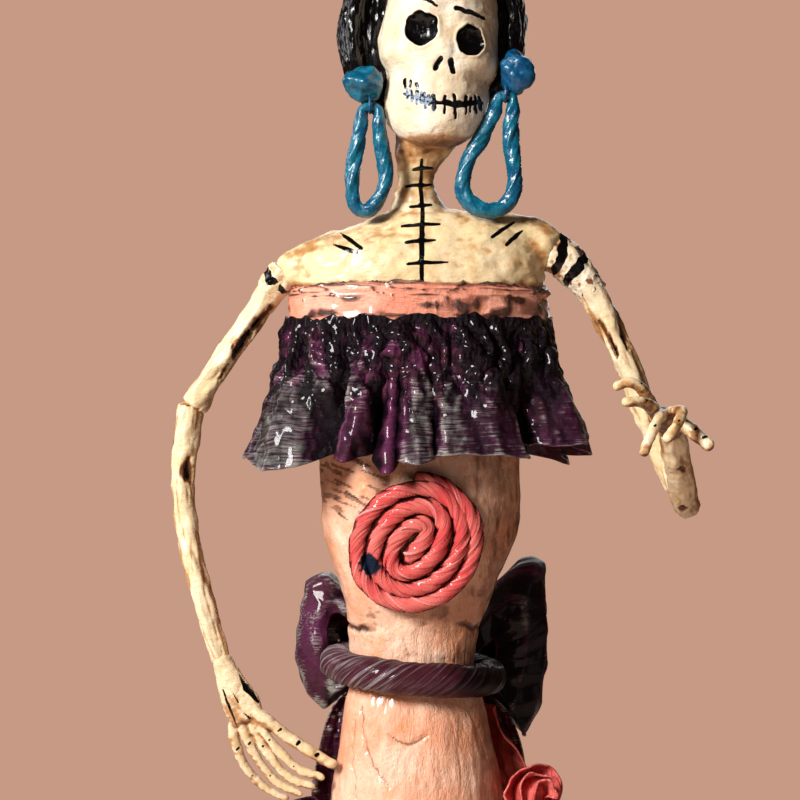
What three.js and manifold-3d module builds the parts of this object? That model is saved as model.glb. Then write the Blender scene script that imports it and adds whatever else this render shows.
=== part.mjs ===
// Papier-mache catrina: a skeleton lady in a long gown, built round a wire armature.
// Millimetres. +Z is up, -Y is the way she faces, and the origin is the middle of the underside.
// Left and right are hers, so her left arm is on the +X side.
import * as THREE from "three";
import { mergeVertices } from "three/addons/utils/BufferGeometryUtils.js";
import Module from "manifold-3d";

// ---- driving dimensions ----
const GAP = 0.3; // left between two pieces that touch
const PAPER = 2.4; // wall of the papier-mache shells
const SHEET = 1.6; // wall of the varnished crepe ruffles and bow
const WIRE_R = 0.8; // armature wire in the arms
const POST_R = 1.5; // armature rod up the middle
const CORE_R = 6; // rolled newspaper round the rod, inside the bodice
const FELT_H = 1.5;
const BOARD_H = 10;
const BOARD_R = 55.4;
const FELT_R = 60;
const FOOT_R = 11;
const FOOT_H = 15;
const ROD_TOP = 424;
const ROD_DEPTH = 8; // how far the rod goes down into the board
const WAIST_Z = 258; // seam between bodice and skirt, under the rope belt
const BAND_Z = 352; // lower edge of the bust band
const BAND_H = 12;

// ---- outlines: [height, half width, half depth, sideways offset] ----
const SKIRT = [
  [FELT_H, 64, 63, 0],
  [12, 60, 59, 0],
  [28, 51.5, 50, 0],
  [46, 42.5, 41, 0],
  [66, 35, 33, 0],
  [90, 29.5, 27, 0],
  [120, 27, 24.5, 0],
  [150, 27.5, 24.5, 0],
  [180, 27.5, 24, 0],
  [205, 25.8, 22, 0],
  [226, 23.2, 19.6, 0],
  [242, 20.4, 17.3, -0.6],
  [251, 18.8, 16, -1],
  [WAIST_Z - GAP, 16.3, 14, -1.2],
];
const BODICE = [
  [WAIST_Z, 16.3, 14, -1.2],
  [264, 17.1, 14.8, -1.2],
  [273, 18.1, 15.6, -0.8],
  [281, 20.5, 17, -0.2],
  [289, 23.6, 18.6, 0.4],
  [297, 25.9, 19.6, 0.5],
  [306, 26.9, 19.8, 0.6],
  [318, 27.0, 19.2, 0.6],
  [334, 28, 18, 0.4],
  [BAND_Z - 2, 29.5, 16, 0.2],
];
const CHEST = [
  [BAND_Z - 2 + GAP, 31, 14.8, 0.2],
  [358, 32.6, 16.2, 0.2],
  [365, 33.6, 16.4, 0.3],
  [370.5, 33, 15.6, 0.8],
  [375, 29, 13.6, 2],
  [378.8, 22, 11, 3.4],
  [381.8, 13, 8.4, 3.4],
  [383.2, 6, 5.4, 2],
];
const SHOULDERS = [
  { at: [-32.5, 0, 367.5], r: [7.2, 7.4, 7] }, // right
  { at: [34, 0, 373.2], r: [8, 7.6, 7.6] }, // left, held higher
];

// ---- head, measured from its own middle ----
const HEAD_AT = [5.9, -2, 429.5];
const HEAD = [
  [-27, 5.2, 5, 0, -8],
  [-24.5, 9.2, 8.2, 0, -7],
  [-20, 12, 11.4, 0, -5.6],
  [-14, 13.6, 14, 0, -4],
  [-7, 14.6, 16.4, 0, -2],
  [1, 16, 18.4, 0, 0],
  [9, 16.2, 20, 0, 0.5],
  [17, 14.6, 18.6, 0, 1],
  [23, 10.4, 13.6, 0, 1],
  [26, 5, 7, 0, 1],
];
const EYES = [
  { at: [-5.1, -18.4, 0], r: 4.3 },
  { at: [7.6, -17, -3], r: 3.8 },
];
const HAIR_R = [26, 24, 29.6];
const HAIR_AT = [4.4, 3.5, 429.8];
const HAIRLINE = { front: -4.5, top: 446 };

// ---- earrings: ball, and the drop-shaped loop below it ----
const HOOK_R = 2.2;
const HOOK_WIRE = 0.4;
const LOOP_R = 1.75;
const LOOP_TOP_R = 0.8;
const EARRINGS = {
  right: {
    ball: [-14, -10.6, 415.5],
    r: 4.5,
    eye: 1.2, // the wire eye's sideways offset from the ball
    loop: [
      [-1.9, -0.7],
      [-2.3, -4.4],
      [-3.6, -11],
      [-4.7, -19],
      [-4.1, -25.4],
      [-1, -27.2],
      [2.2, -24.4],
      [4.1, -19],
      [3.4, -12],
      [2.3, -4.6],
      [1.9, -0.7],
    ],
  },
  left: {
    ball: [25.2, -10.2, 418.5],
    r: 4.5,
    eye: -2.2,
    loop: [
      [-1.9, -0.7],
      [-3.4, -5.4],
      [-5.8, -9.8],
      [-8.4, -14.4],
      [-10.6, -19],
      [-11.4, -23.4],
      [-10.2, -27],
      [-6.8, -29.8],
      [-2.2, -30],
      [1.4, -27],
      [2.5, -22],
      [1.9, -16],
      [1.4, -10],
      [1.9, -4.6],
      [1.9, -0.7],
    ],
  },
};

// ---- arms: centre lines from shoulder to elbow, and from elbow to wrist ----
const ARMS = {
  right: {
    upper: [
      [-38, -0.6, 363.6],
      [-46, -0.4, 352],
      [-55, 0.4, 339],
      [-61, 1, 330],
    ],
    fore: [
      [-61.6, 1, 328.9],
      [-63.4, 0.4, 312],
      [-61.6, -1.4, 294],
      [-57.8, -3.4, 278],
      [-52.6, -5, 262.6],
    ],
    bindingEnd: 0.2, // share of the upper arm that the black-banded binding reaches
  },
  left: {
    upper: [
      [41.6, -0.6, 366.8],
      [47, -1, 360.4],
      [54, -1.6, 346.4],
      [62, -2.4, 327],
      [70, -3.4, 308],
    ],
    fore: [
      [71, -7, 304.8],
      [68.8, -18, 309.6],
      [65.2, -32, 317.6],
      [62, -44, 324.6],
    ],
    bindingEnd: 0.3,
  },
};
const UPPER_R = 3.3;
const FORE_R = 3.4;
const WRIST_R = 2.7;
const BINDING_WALL = 1.3;

// ---- hands: palm from wrist to knuckles, and the centre line of each finger ----
const HANDS = {
  right: {
    facing: [0, -1, 0],
    palm: [
      [-52.3, -5.2, 262.1],
      [-49.6, -6, 256],
      [-46.6, -6.8, 249.6],
      [-45, -7, 246.2],
    ],
    width: [3.4, 4.2, 5, 4.4],
    depth: [2.7, 2.5, 2.3, 1.9],
    fingers: {
      thumb: [
        [-43, -7.6, 248.6],
        [-39.5, -8.2, 246.2],
        [-34.6, -8.8, 242.7],
        [-29.2, -9.4, 239.2],
        [-21.8, -10.2, 235.2],
      ],
      index: [
        [-43.8, -7, 247.4],
        [-41.6, -7.2, 244.4],
        [-37.4, -7.4, 239],
        [-31.8, -7.6, 233.8],
        [-24.8, -8.4, 231.6],
      ],
      middle: [
        [-45, -6.6, 247.4],
        [-43.6, -6.4, 243.6],
        [-39.4, -6.2, 236.8],
        [-34.2, -6.4, 231.2],
        [-27.4, -7.2, 228.9],
      ],
      ring: [
        [-46.6, -6.4, 247.6],
        [-46.2, -6, 243],
        [-42.4, -5.4, 235.2],
        [-37.1, -5.2, 229.4],
        [-30.6, -5.8, 226.6],
      ],
      little: [
        [-48.6, -6.2, 248.4],
        [-49.4, -5.6, 243],
        [-46.8, -4.8, 235],
        [-41.8, -4.2, 228.8],
        [-34.8, -4.2, 225],
      ],
    },
  },
  left: {
    facing: [0.1, 0.35, 1],
    palm: [
      [61.9, -44.5, 324.9],
      [60.4, -49.2, 327],
      [58.6, -54, 328.8],
    ],
    width: [3, 4.2, 4.4],
    depth: [2.8, 2.7, 2.4],
    fingers: {
      thumb: [
        [61.4, -51, 327],
        [64.4, -54, 325.4],
        [67, -57, 323],
        [69.6, -60, 320.6],
      ],
      index: [
        [60.4, -53, 328.6],
        [62.2, -59, 329.2],
        [60.6, -63.4, 326],
        [57.4, -65, 322],
      ],
      middle: [
        [58.6, -52.6, 328.4],
        [57, -59.6, 327.6],
        [54.4, -62.6, 323.6],
        [52.4, -62.8, 318.6],
      ],
      ring: [
        [57, -52.6, 329.2],
        [54.4, -59.4, 330.8],
        [51.2, -62, 331.6],
        [47.6, -62.4, 331.4],
      ],
      little: [
        [56.8, -51.6, 329.8],
        [53.6, -56.6, 333.8],
        [50.2, -58.6, 336.2],
        [46, -58.4, 335],
      ],
    },
  },
};
const THUMB_R = 1.55;
const FINGER_R = 1.3;

// ---- gown trimmings ----
const HOOP = { z: 22, r: 1 };
const ROSETTE = { x: -1.4, z: 293, inner: 2.4, outer: 16.6, turns: 3.2, r: 2.3, slant: 0.5 };
const BELT = { x: -1.2, z: 259.4, r: 4.3, halfWidth: 20.8, halfDepth: 18.6, lean: 1.8 };
const KNOT = { at: [-1, 29.1, 259], r: [6.4, 5, 10] };
const BOW = {
  thick: 15, // of a loop, front to back
  left: { reach: 40, bottom: 233, top: 285.5 },
  right: { reach: 33.5, bottom: 242.5, top: 283 },
};
const TAILS = { top: 253, bottom: 172, width: 19, spread: 15, clear: 1.1 };
const BUST_RUFFLE = {
  top: [BAND_Z - GAP, 33.6, 18.8, 0.3],
  bottom: [314, 44.5, 31, -1],
  folds: 11,
  depth: 3.4,
};
const HEM_RUFFLE = {
  top: [70, 35.6, 33.8, 0],
  bottom: [3, 76, 73, 0],
  folds: 12,
  depth: 3.2,
};
const HEM_ROPE = { z: 73.4, r: 2.4 };
const DRAPE = { top: 249, bottom: 168 };
const DRAPE_RIPPLE = 1.6;
const ROLLS = {
  left: { at: [31, -9.5, 229], r: [8.6, 9, 9.6] },
  right: { at: [-31.4, -3.6, 217], r: [8, 8.2, 7.6] },
};
const LOOK = {
  bone: { color: 0xe3cfa2, roughness: 0.35, metalness: 0 },
  hair: { color: 0x0b0b0d, roughness: 0.3, metalness: 0 },
  teal: { color: 0x0a86a6, roughness: 0.3, metalness: 0 },
  gown: { color: 0xdd9a72, roughness: 0.4, metalness: 0 },
  salmon: { color: 0xd17f68, roughness: 0.45, metalness: 0 },
  coral: { color: 0xd6565a, roughness: 0.45, metalness: 0 },
  plum: { color: 0x4a2438, roughness: 0.4, metalness: 0 },
  wire: { color: 0x8a8a88, roughness: 0.4, metalness: 1 },
  newsprint: { color: 0xb9b2a2, roughness: 0.9, metalness: 0 },
  wood: { color: 0x8b6238, roughness: 0.7, metalness: 0 },
  felt: { color: 0x2e2b2b, roughness: 1, metalness: 0 },
};

const wasm = await Module();
wasm.setup();

// ---- geometry helpers ----

// A closed geometry as a manifold-3d solid.
function solidOf(geometry) {
  const loose = geometry.index ? geometry.toNonIndexed() : geometry;
  const bare = new THREE.BufferGeometry();
  bare.setAttribute("position", loose.getAttribute("position"));
  const merged = mergeVertices(bare, 1e-4);
  return new wasm.Manifold(
    new wasm.Mesh({
      numProp: 3,
      vertProperties: merged.attributes.position.array,
      triVerts: new Uint32Array(merged.index.array),
    }),
  );
}

function geometryOf(solid) {
  const made = solid.getMesh();
  const geometry = new THREE.BufferGeometry();
  geometry.setAttribute("position", new THREE.BufferAttribute(made.vertProperties, 3));
  geometry.setIndex(new THREE.BufferAttribute(made.triVerts, 1));
  geometry.computeVertexNormals();
  return geometry;
}

// Rings with equal counts of points, skinned into one surface: capped at both ends, or joined end to end.
function skin(rings, closed = false) {
  const n = rings[0].length;
  const points = rings.flat();
  const faces = [];
  const spans = closed ? rings.length : rings.length - 1;
  for (let k = 0; k < spans; k++) {
    for (let i = 0; i < n; i++) {
      const a = k * n + i;
      const b = k * n + ((i + 1) % n);
      const c = ((k + 1) % rings.length) * n + i;
      const d = ((k + 1) % rings.length) * n + ((i + 1) % n);
      faces.push(a, b, d, a, d, c);
    }
  }
  if (!closed) {
    [0, rings.length - 1].forEach((k) => {
      const middle = points.length;
      const sum = rings[k].reduce((s, p) => s.add(p), new THREE.Vector3());
      points.push(sum.divideScalar(n));
      for (let i = 0; i < n; i++) {
        const a = k * n + i;
        const b = k * n + ((i + 1) % n);
        faces.push(middle, ...(k === 0 ? [b, a] : [a, b]));
      }
    });
  }
  const geometry = new THREE.BufferGeometry().setFromPoints(points);
  geometry.setIndex(faces);
  return geometry;
}

// A barrel from outline rows, grown outwards by `grow`, with `ripple(angle, share)` added to its radius.
function barrel(rows, { sides = 32, grow = 0, steps = 0, ripple = () => 0 } = {}) {
  const centres = rows.map(([z, , , x = 0, y = 0]) => new THREE.Vector3(x, y, z));
  const sizes = rows.map(([, w, d]) => new THREE.Vector3(w, d, 0));
  const smooth = (points, t) => new THREE.CatmullRomCurve3(points).getPoint(t);
  const last = steps || rows.length - 1;
  const rings = [];
  for (let k = 0; k <= last; k++) {
    const t = k / last;
    const centre = steps ? smooth(centres, t) : centres[k];
    const size = steps ? smooth(sizes, t) : sizes[k];
    const ring = [];
    for (let i = 0; i < sides; i++) {
      const angle = (2 * Math.PI * i) / sides;
      const out = grow + ripple(angle, t);
      ring.push(
        new THREE.Vector3(
          centre.x + (size.x + out) * Math.cos(angle),
          centre.y + (size.y + out) * Math.sin(angle),
          centre.z,
        ),
      );
    }
    rings.push(ring);
  }
  return skin(rings);
}

// The same outline with its end heights moved, so that a cutter passes right through.
function stretched(rows, below, above) {
  const copy = rows.map((row) => [...row]);
  copy[0][0] -= below;
  copy[copy.length - 1][0] += above;
  return copy;
}

const curveOf = (points, closed = false) =>
  new THREE.CatmullRomCurve3(points.map((p) => new THREE.Vector3(...p)), closed);

// A limb along a curve. radius(share) gives a number, or [across, through] for a flat section,
// whose `through` side looks along `facing`.
function limb(curve, radius, steps, { sides = 8, closed = false, facing = null } = {}) {
  const frames = curve.computeFrenetFrames(steps, closed);
  const rings = [];
  for (let k = 0; k <= steps - (closed ? 1 : 0); k++) {
    const centre = curve.getPointAt(k / steps);
    const r = radius(k / steps);
    const [across, through] = Array.isArray(r) ? r : [r, r];
    let [side, front] = [frames.normals[k], frames.binormals[k]];
    if (facing) {
      const along = frames.tangents[k];
      front = new THREE.Vector3(...facing);
      front.addScaledVector(along, -front.dot(along)).normalize();
      side = front.clone().cross(along);
    }
    const ring = [];
    for (let i = 0; i < sides; i++) {
      const angle = (2 * Math.PI * i) / sides;
      const point = centre.clone().addScaledVector(side, across * Math.cos(angle));
      ring.push(point.addScaledVector(front, through * Math.sin(angle)));
    }
    rings.push(ring);
  }
  return skin(rings, closed);
}

// A centre line with both its ends moved on outwards.
function longer(points, by) {
  const ends = points.map((p) => new THREE.Vector3(...p));
  const n = ends.length - 1;
  const first = ends[0].clone().sub(ends[1]).setLength(by).add(ends[0]);
  const last = ends[n].clone().sub(ends[n - 1]).setLength(by).add(ends[n]);
  return [first.toArray(), ...points.slice(1, n), last.toArray()];
}

function ellipsoid([x, y, z], [rx, ry, rz], grow = 0, detail = 20) {
  const ball = new THREE.SphereGeometry(1, detail, Math.round(detail * 0.6));
  ball.rotateX(Math.PI / 2);
  ball.scale(rx + grow, ry + grow, rz + grow);
  ball.translate(x, y, z);
  return ball;
}

function upright(radius, from, to, sides = 20) {
  const rod = new THREE.CylinderGeometry(radius, radius, to - from, sides);
  rod.rotateX(Math.PI / 2);
  rod.translate(0, 0, (from + to) / 2);
  return rod;
}

function block(x0, x1, y0, y1, z0, z1) {
  const box = new THREE.BoxGeometry(x1 - x0, y1 - y0, z1 - z0);
  box.translate((x0 + x1) / 2, (y0 + y1) / 2, (z0 + z1) / 2);
  return box;
}

// How far the gown reaches at a height: the outline row there, between the rows either side.
function outlineAt(rows, z) {
  const k = Math.max(1, rows.findIndex((row) => row[0] >= z));
  const [a, b] = [rows[k - 1], rows[k]];
  const t = (z - a[0]) / (b[0] - a[0]);
  return a.map((v, i) => v + (b[i] - v) * t);
}

// The front of the gown at (x, z): its y there.
function frontOf(rows, x, z) {
  const [, w, d, offset] = outlineAt(rows, z);
  const across = Math.min(1, Math.abs((x - offset) / w));
  return -d * Math.sqrt(1 - across * across);
}

const model = new THREE.Group();
const materials = Object.fromEntries(
  Object.entries(LOOK).map(([name, look]) => [name, new THREE.MeshStandardMaterial(look)]),
);

function place(name, material, solid) {
  const mesh = new THREE.Mesh(geometryOf(solid), materials[material]);
  mesh.name = name;
  model.add(mesh);
  return solid;
}

// ---- base and armature ----
const BOARD_TOP = FELT_H + BOARD_H;
const FOOT_TOP = BOARD_TOP + FOOT_H;
const CORE_TOP = BAND_Z - 6;
const rodBore = () => solidOf(upright(POST_R + GAP, BOARD_TOP - ROD_DEPTH, ROD_TOP + GAP, 12));
const coreBore = () => solidOf(upright(CORE_R + GAP, WAIST_Z - 20, CORE_TOP + GAP, 20));

function buildBase() {
  place("base_felt", "felt", solidOf(upright(FELT_R, 0, FELT_H, 48)));
  const board = solidOf(upright(BOARD_R, FELT_H, BOARD_TOP, 48));
  place("base_board", "wood", board.subtract(rodBore()));
  const foot = solidOf(upright(FOOT_R, BOARD_TOP, FOOT_TOP, 16));
  place("foot_block", "wood", foot.subtract(rodBore()));
  place("armature_rod", "wire", solidOf(upright(POST_R, BOARD_TOP - ROD_DEPTH + GAP, ROD_TOP, 12)));
  const core = solidOf(upright(CORE_R, WAIST_Z, CORE_TOP, 16));
  place("newspaper_core", "newsprint", core.subtract(rodBore()));
}

// ---- gown ----
const skirtOf = (grow) => solidOf(barrel(SKIRT, { sides: 24, grow }));
const bodiceOf = (grow) => solidOf(barrel(BODICE, { sides: 28, grow }));
const skirtInside = (inset, sides) => solidOf(barrel(stretched(SKIRT, 5, 5), { sides, grow: -inset }));

function hoop(grow) {
  const [, width, depth] = outlineAt(SKIRT, HOOP.z);
  const inset = PAPER + GAP * 2 + HOOP.r;
  const path = [0, 1, 2, 3, 4, 5, 6, 7].map((i) => {
    const angle = (i * Math.PI) / 4;
    return [(width - inset) * Math.cos(angle), (depth - inset) * Math.sin(angle), HOOP.z];
  });
  return solidOf(limb(curveOf(path, true), () => HOOP.r + grow, 24, { sides: 5, closed: true }));
}

function buildGown() {
  place("skirt_shell", "gown", skirtOf(0).subtract(skirtInside(PAPER, 24)));
  place("hem_hoop", "wire", hoop(0));
  const room = block(-90, 90, -90, 90, BOARD_TOP + GAP, WAIST_Z - GAP);
  const foot = solidOf(upright(FOOT_R + GAP, 0, FOOT_TOP + GAP, 16));
  const padding = skirtInside(PAPER + GAP, 12).intersect(solidOf(room)).subtract(hoop(GAP));
  place("skirt_padding", "newsprint", padding.subtract(foot).subtract(rodBore()));
  place("bodice", "gown", bodiceOf(0).subtract(coreBore()).subtract(rodBore()));
}

// A ruffle is a rippled shell that flares from one outline to a wider one.
function ruffle({ top, bottom, folds, depth }, rows, sides) {
  const outline = [];
  for (let k = 0; k <= rows; k++) {
    const t = k / rows;
    const flare = Math.pow(1 - t, 1.5);
    const row = top.map((v, i) => v + (bottom[i] - v) * flare);
    row[0] = bottom[0] + (top[0] - bottom[0]) * t;
    outline.push(row);
  }
  const ripple = (angle, t) => depth * (1 - t) * Math.sin(folds * angle);
  const outer = solidOf(barrel(outline, { sides, ripple }));
  const lining = stretched(outline, 4, 4);
  const inner = solidOf(barrel(lining, { sides, ripple, grow: -SHEET }));
  return outer.subtract(inner);
}

function buildRuffles() {
  place("bust_ruffle", "plum", ruffle(BUST_RUFFLE, 3, 55));
  const hem = ruffle(HEM_RUFFLE, 3, 60);
  place("hem_ruffle", "plum", hem.subtract(skirtOf(GAP)));
  const [, w, d] = outlineAt(SKIRT, HEM_ROPE.z);
  const reach = HEM_ROPE.r + GAP + 0.4;
  const path = [0, 1, 2, 3, 4, 5, 6, 7, 8, 9, 10, 11].map((i) => {
    const angle = (i * Math.PI) / 6;
    return [(w + reach) * Math.cos(angle), (d + reach) * Math.sin(angle), HEM_ROPE.z];
  });
  const rope = solidOf(limb(curveOf(path, true), () => HEM_ROPE.r, 32, { sides: 6, closed: true }));
  place("hem_rope", "coral", rope.subtract(skirtOf(GAP)));
}

// The overskirt behind: a sheet that starts under the belt and ends at a rolled corner on each hip.
function drapeAt(z) {
  const t = (z - DRAPE.bottom) / (DRAPE.top - DRAPE.bottom);
  const [, w, d, x] = outlineAt(SKIRT, z);
  const flare = 1.2 + 9 * Math.pow(Math.max(0, 1 - t), 1.2);
  return [z, w + flare, d + flare + 1, x];
}

const drapeOutline = () =>
  [0, 0.25, 0.5, 0.75, 1].map((t) => drapeAt(DRAPE.bottom + (DRAPE.top - DRAPE.bottom) * t));

function buildDrape() {
  const outer = solidOf(barrel(drapeOutline(), { sides: 36, ripple: drapeRipple }));
  const lining = stretched(drapeOutline(), 3, 3);
  const inner = solidOf(barrel(lining, { sides: 36, grow: -SHEET, ripple: drapeRipple }));
  const front = solidOf(block(-80, 80, -80, -3, DRAPE.bottom - 20, DRAPE.top + 20));
  let drape = outer.subtract(inner).subtract(front).subtract(skirtOf(GAP));
  const rolls = {};
  for (const [side, { at, r }] of Object.entries(ROLLS)) {
    rolls[side] = solidOf(ellipsoid(at, r, 0, 12)).subtract(skirtOf(GAP));
    drape = drape.subtract(solidOf(ellipsoid(at, r, GAP, 12)));
  }
  place("overskirt_drape", "coral", biggest(drape));
  place("hip_rose_left", "coral", biggest(rolls.left));
  place("hip_rose_right", "plum", biggest(rolls.right));
}

const drapeRipple = (angle, t) => DRAPE_RIPPLE * (1 - t) * Math.sin(7 * angle);

// A cut can leave crumbs: this keeps the largest piece.
function biggest(solid) {
  return solid.decompose().reduce((a, b) => (a.volume() > b.volume() ? a : b));
}

// ---- chest, neck, bust band ----
function chestOf(grow) {
  const body = solidOf(barrel(CHEST, { sides: 24, grow }));
  return SHOULDERS.reduce((all, s) => all.add(solidOf(ellipsoid(s.at, s.r, grow, 12))), body);
}

const NECK = [
  [0.4, -0.4, 380],
  [-0.4, -0.2, 385],
  [-0.6, 0, 391],
  [-0.2, -0.4, 396.5],
  [1.6, -1, 403],
  [3, -1.6, 409],
];
const NECK_R = [9, 6.4, 4.6, 4.9, 7.6, 10.6];

function between(values, t) {
  const at = t * (values.length - 1);
  const k = Math.min(values.length - 2, Math.floor(at));
  return values[k] + (values[k + 1] - values[k]) * (at - k);
}

function buildTorso() {
  const under = solidOf(block(-60, 60, -60, 60, 300, BAND_Z - 2 + GAP));
  const chest = chestOf(0).subtract(under).subtract(rodBore());
  place("chest", "bone", chest);
  const neck = solidOf(limb(curveOf(NECK), (t) => between(NECK_R, t), 7, { sides: 12 }));
  place("neck", "bone", biggest(neck.subtract(chestOf(GAP)).subtract(skullOf(GAP)).subtract(rodBore())));
  const bandRows = [
    [BAND_Z, 34.4, 18.6, 0.3],
    [BAND_Z + BAND_H * 0.5, 35.2, 19.2, 0.3],
    [BAND_Z + BAND_H, 34.6, 18.2, 0.3],
  ];
  const band = solidOf(barrel(bandRows, { sides: 28 }));
  const armpits = SHOULDERS.map((s) => solidOf(ellipsoid(s.at, s.r, GAP, 12)));
  const cut = armpits.reduce((all, s) => all.subtract(s), band.subtract(chestOf(GAP)));
  place("bust_band", "salmon", biggest(cut));
}

// ---- head ----
const moved = (rows, [x, y, z]) => rows.map(([h, w, d, cx, cy]) => [h + z, w, d, cx + x, cy + y]);

function skullOf(grow) {
  return solidOf(barrel(moved(HEAD, HEAD_AT), { sides: 22, grow }));
}

function hairOf(grow) {
  return solidOf(ellipsoid(HAIR_AT, HAIR_R, grow, 18));
}

function buildHead() {
  let skull = skullOf(0).subtract(rodBore());
  for (const { at, r } of EYES) {
    const centre = at.map((v, i) => v + HEAD_AT[i]);
    skull = skull.subtract(solidOf(ellipsoid(centre, [r, r * 0.55, r], 0, 10)));
  }
  place("skull", "bone", skull);
  const neckRoom = solidOf(limb(curveOf(NECK), (t) => between(NECK_R, t) + GAP, 7, { sides: 12 }));
  const face = solidOf(block(-60, 60, -60, HAIRLINE.front, 380, HAIRLINE.top));
  const hair = hairOf(0).subtract(skullOf(GAP)).subtract(face).subtract(neckRoom);
  place("hair", "hair", biggest(hair));
}

// ---- earrings ----
function ringOf([x, y, z], radius, wire) {
  const ring = new THREE.TorusGeometry(radius, wire, 6, 14);
  ring.rotateY(Math.PI / 2);
  ring.translate(x, y, z);
  return solidOf(ring);
}

function buildEarring(side, { ball, r, eye, loop }) {
  const [x, y] = [ball[0] + eye, ball[1]];
  const hookZ = ball[2] - r - 0.9;
  const hook = ringOf([x, y, hookZ], HOOK_R, HOOK_WIRE);
  const slot = ringOf([x, y, hookZ], HOOK_R, HOOK_WIRE + 0.2);
  const bead = solidOf(ellipsoid(ball, [r, r * 0.9, r], 0, 12));
  const behind = solidOf(block(-60, 60, HAIRLINE.front - GAP, 60, 380, 470));
  place(`ear_ball_${side}`, "teal", biggest(bead.subtract(slot).subtract(skullOf(GAP)).subtract(behind)));
  place(`ear_hook_${side}`, "wire", hook);
  const pivotZ = hookZ - HOOK_R + HOOK_WIRE + LOOP_TOP_R + GAP;
  const path = [[0, 0], ...loop].map(([dx, dz]) => [x + dx, y, pivotZ + dz]);
  const curve = curveOf(path, true);
  const radius = (t) => {
    const fromTop = Math.min(t, 1 - t) * 2;
    return LOOP_TOP_R + (LOOP_R - LOOP_TOP_R) * Math.min(1, fromTop / 0.16);
  };
  place(`ear_loop_${side}`, "teal", solidOf(limb(curve, radius, 26, { sides: 6, closed: true })));
}

// ---- arms and hands ----
const taper = (from, to) => (t) => from + (to - from) * t;

const upperOf = (arm, grow) =>
  solidOf(limb(curveOf(arm.upper), taper(UPPER_R + 0.3 + grow, UPPER_R + grow), 6));
const foreOf = (arm, grow) =>
  solidOf(limb(curveOf(arm.fore), taper(FORE_R + grow, WRIST_R + grow), 8));

// The wire runs from the shoulder into the palm.
function armWire(side, grow) {
  const { upper, fore } = ARMS[side];
  const shoulder = SHOULDERS[side === "left" ? 1 : 0].at;
  const path = curveOf([shoulder, ...upper, ...fore, HANDS[side].palm[1]]);
  return solidOf(limb(path, () => WIRE_R + grow, 20, { sides: 5 }));
}

function buildArm(side, arm) {
  const sleeve = armWire(side, GAP);
  place(`arm_wire_${side}`, "wire", biggest(armWire(side, 0).subtract(chestOf(GAP))));
  const upper = upperOf(arm, 0).subtract(chestOf(GAP)).subtract(foreOf(arm, GAP));
  place(`upper_arm_${side}`, "bone", biggest(upper.subtract(sleeve)));
  place(`forearm_${side}`, "bone", biggest(foreOf(arm, 0).subtract(sleeve)));
  const curve = curveOf(arm.upper);
  const span = [0.02, arm.bindingEnd / 2, arm.bindingEnd];
  const path = span.map((share) => curve.getPointAt(share).toArray());
  const binding = solidOf(limb(curveOf(path), () => UPPER_R + GAP + BINDING_WALL, 3, { sides: 10 }));
  const around = binding.subtract(upperOf(arm, GAP)).subtract(chestOf(GAP));
  place(`shoulder_binding_${side}`, "bone", biggest(around));
}

function buildHand(side, { facing, palm, width, depth, fingers }) {
  const section = (grow) => (t) => [between(width, t) + grow, between(depth, t) + grow];
  const palmOf = (grow) =>
    solidOf(limb(curveOf(longer(palm, grow)), section(grow), 5, { sides: 8, facing }));
  const around = foreOf(ARMS[side], GAP).add(armWire(side, GAP));
  place(`palm_${side}`, "bone", biggest(palmOf(0).subtract(around)));
  let taken = palmOf(GAP).add(skirtOf(GAP));
  for (const [name, path] of Object.entries(fingers)) {
    const thick = name === "thumb" ? THUMB_R : FINGER_R;
    const fingerOf = (grow) =>
      solidOf(limb(curveOf(path), (t) => thick * (1.05 - 0.2 * t) + grow, 7, { sides: 6 }));
    place(`${name}_${side}`, "bone", biggest(fingerOf(0).subtract(taken)));
    taken = taken.add(fingerOf(GAP));
  }
}

// ---- rosette, belt and bow ----
function buildRosette() {
  const path = [];
  const steps = Math.round(ROSETTE.turns * 14);
  for (let k = 0; k <= steps; k++) {
    const t = k / steps;
    const angle = 2 * Math.PI * ROSETTE.turns * t;
    const radius = ROSETTE.inner + (ROSETTE.outer - ROSETTE.inner) * t;
    const x = ROSETTE.x + radius * Math.cos(angle);
    const z = ROSETTE.z + radius * 1.08 * Math.sin(angle);
    const clear = ROSETTE.r + 1.1;
    path.push([x, frontOf(BODICE, x, z) - clear, z]);
  }
  const coil = solidOf(limb(curveOf(path), () => ROSETTE.r - 0.15, 52, { sides: 6 }));
  place("rosette_coil", "coral", biggest(coil.subtract(bodiceOf(GAP))));
}

// The belt sits a little lower on her left side than on her right.
function buildBelt() {
  const path = [];
  for (let i = 0; i < 12; i++) {
    const angle = (i * Math.PI) / 6;
    path.push([
      BELT.x + BELT.halfWidth * Math.cos(angle),
      BELT.halfDepth * Math.sin(angle),
      BELT.z - BELT.lean * Math.cos(angle),
    ]);
  }
  const rope = solidOf(limb(curveOf(path, true), () => BELT.r, 28, { sides: 8, closed: true }));
  const body = skirtOf(GAP).add(bodiceOf(GAP));
  place("rope_belt", "plum", biggest(rope.subtract(body)));
}

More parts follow.
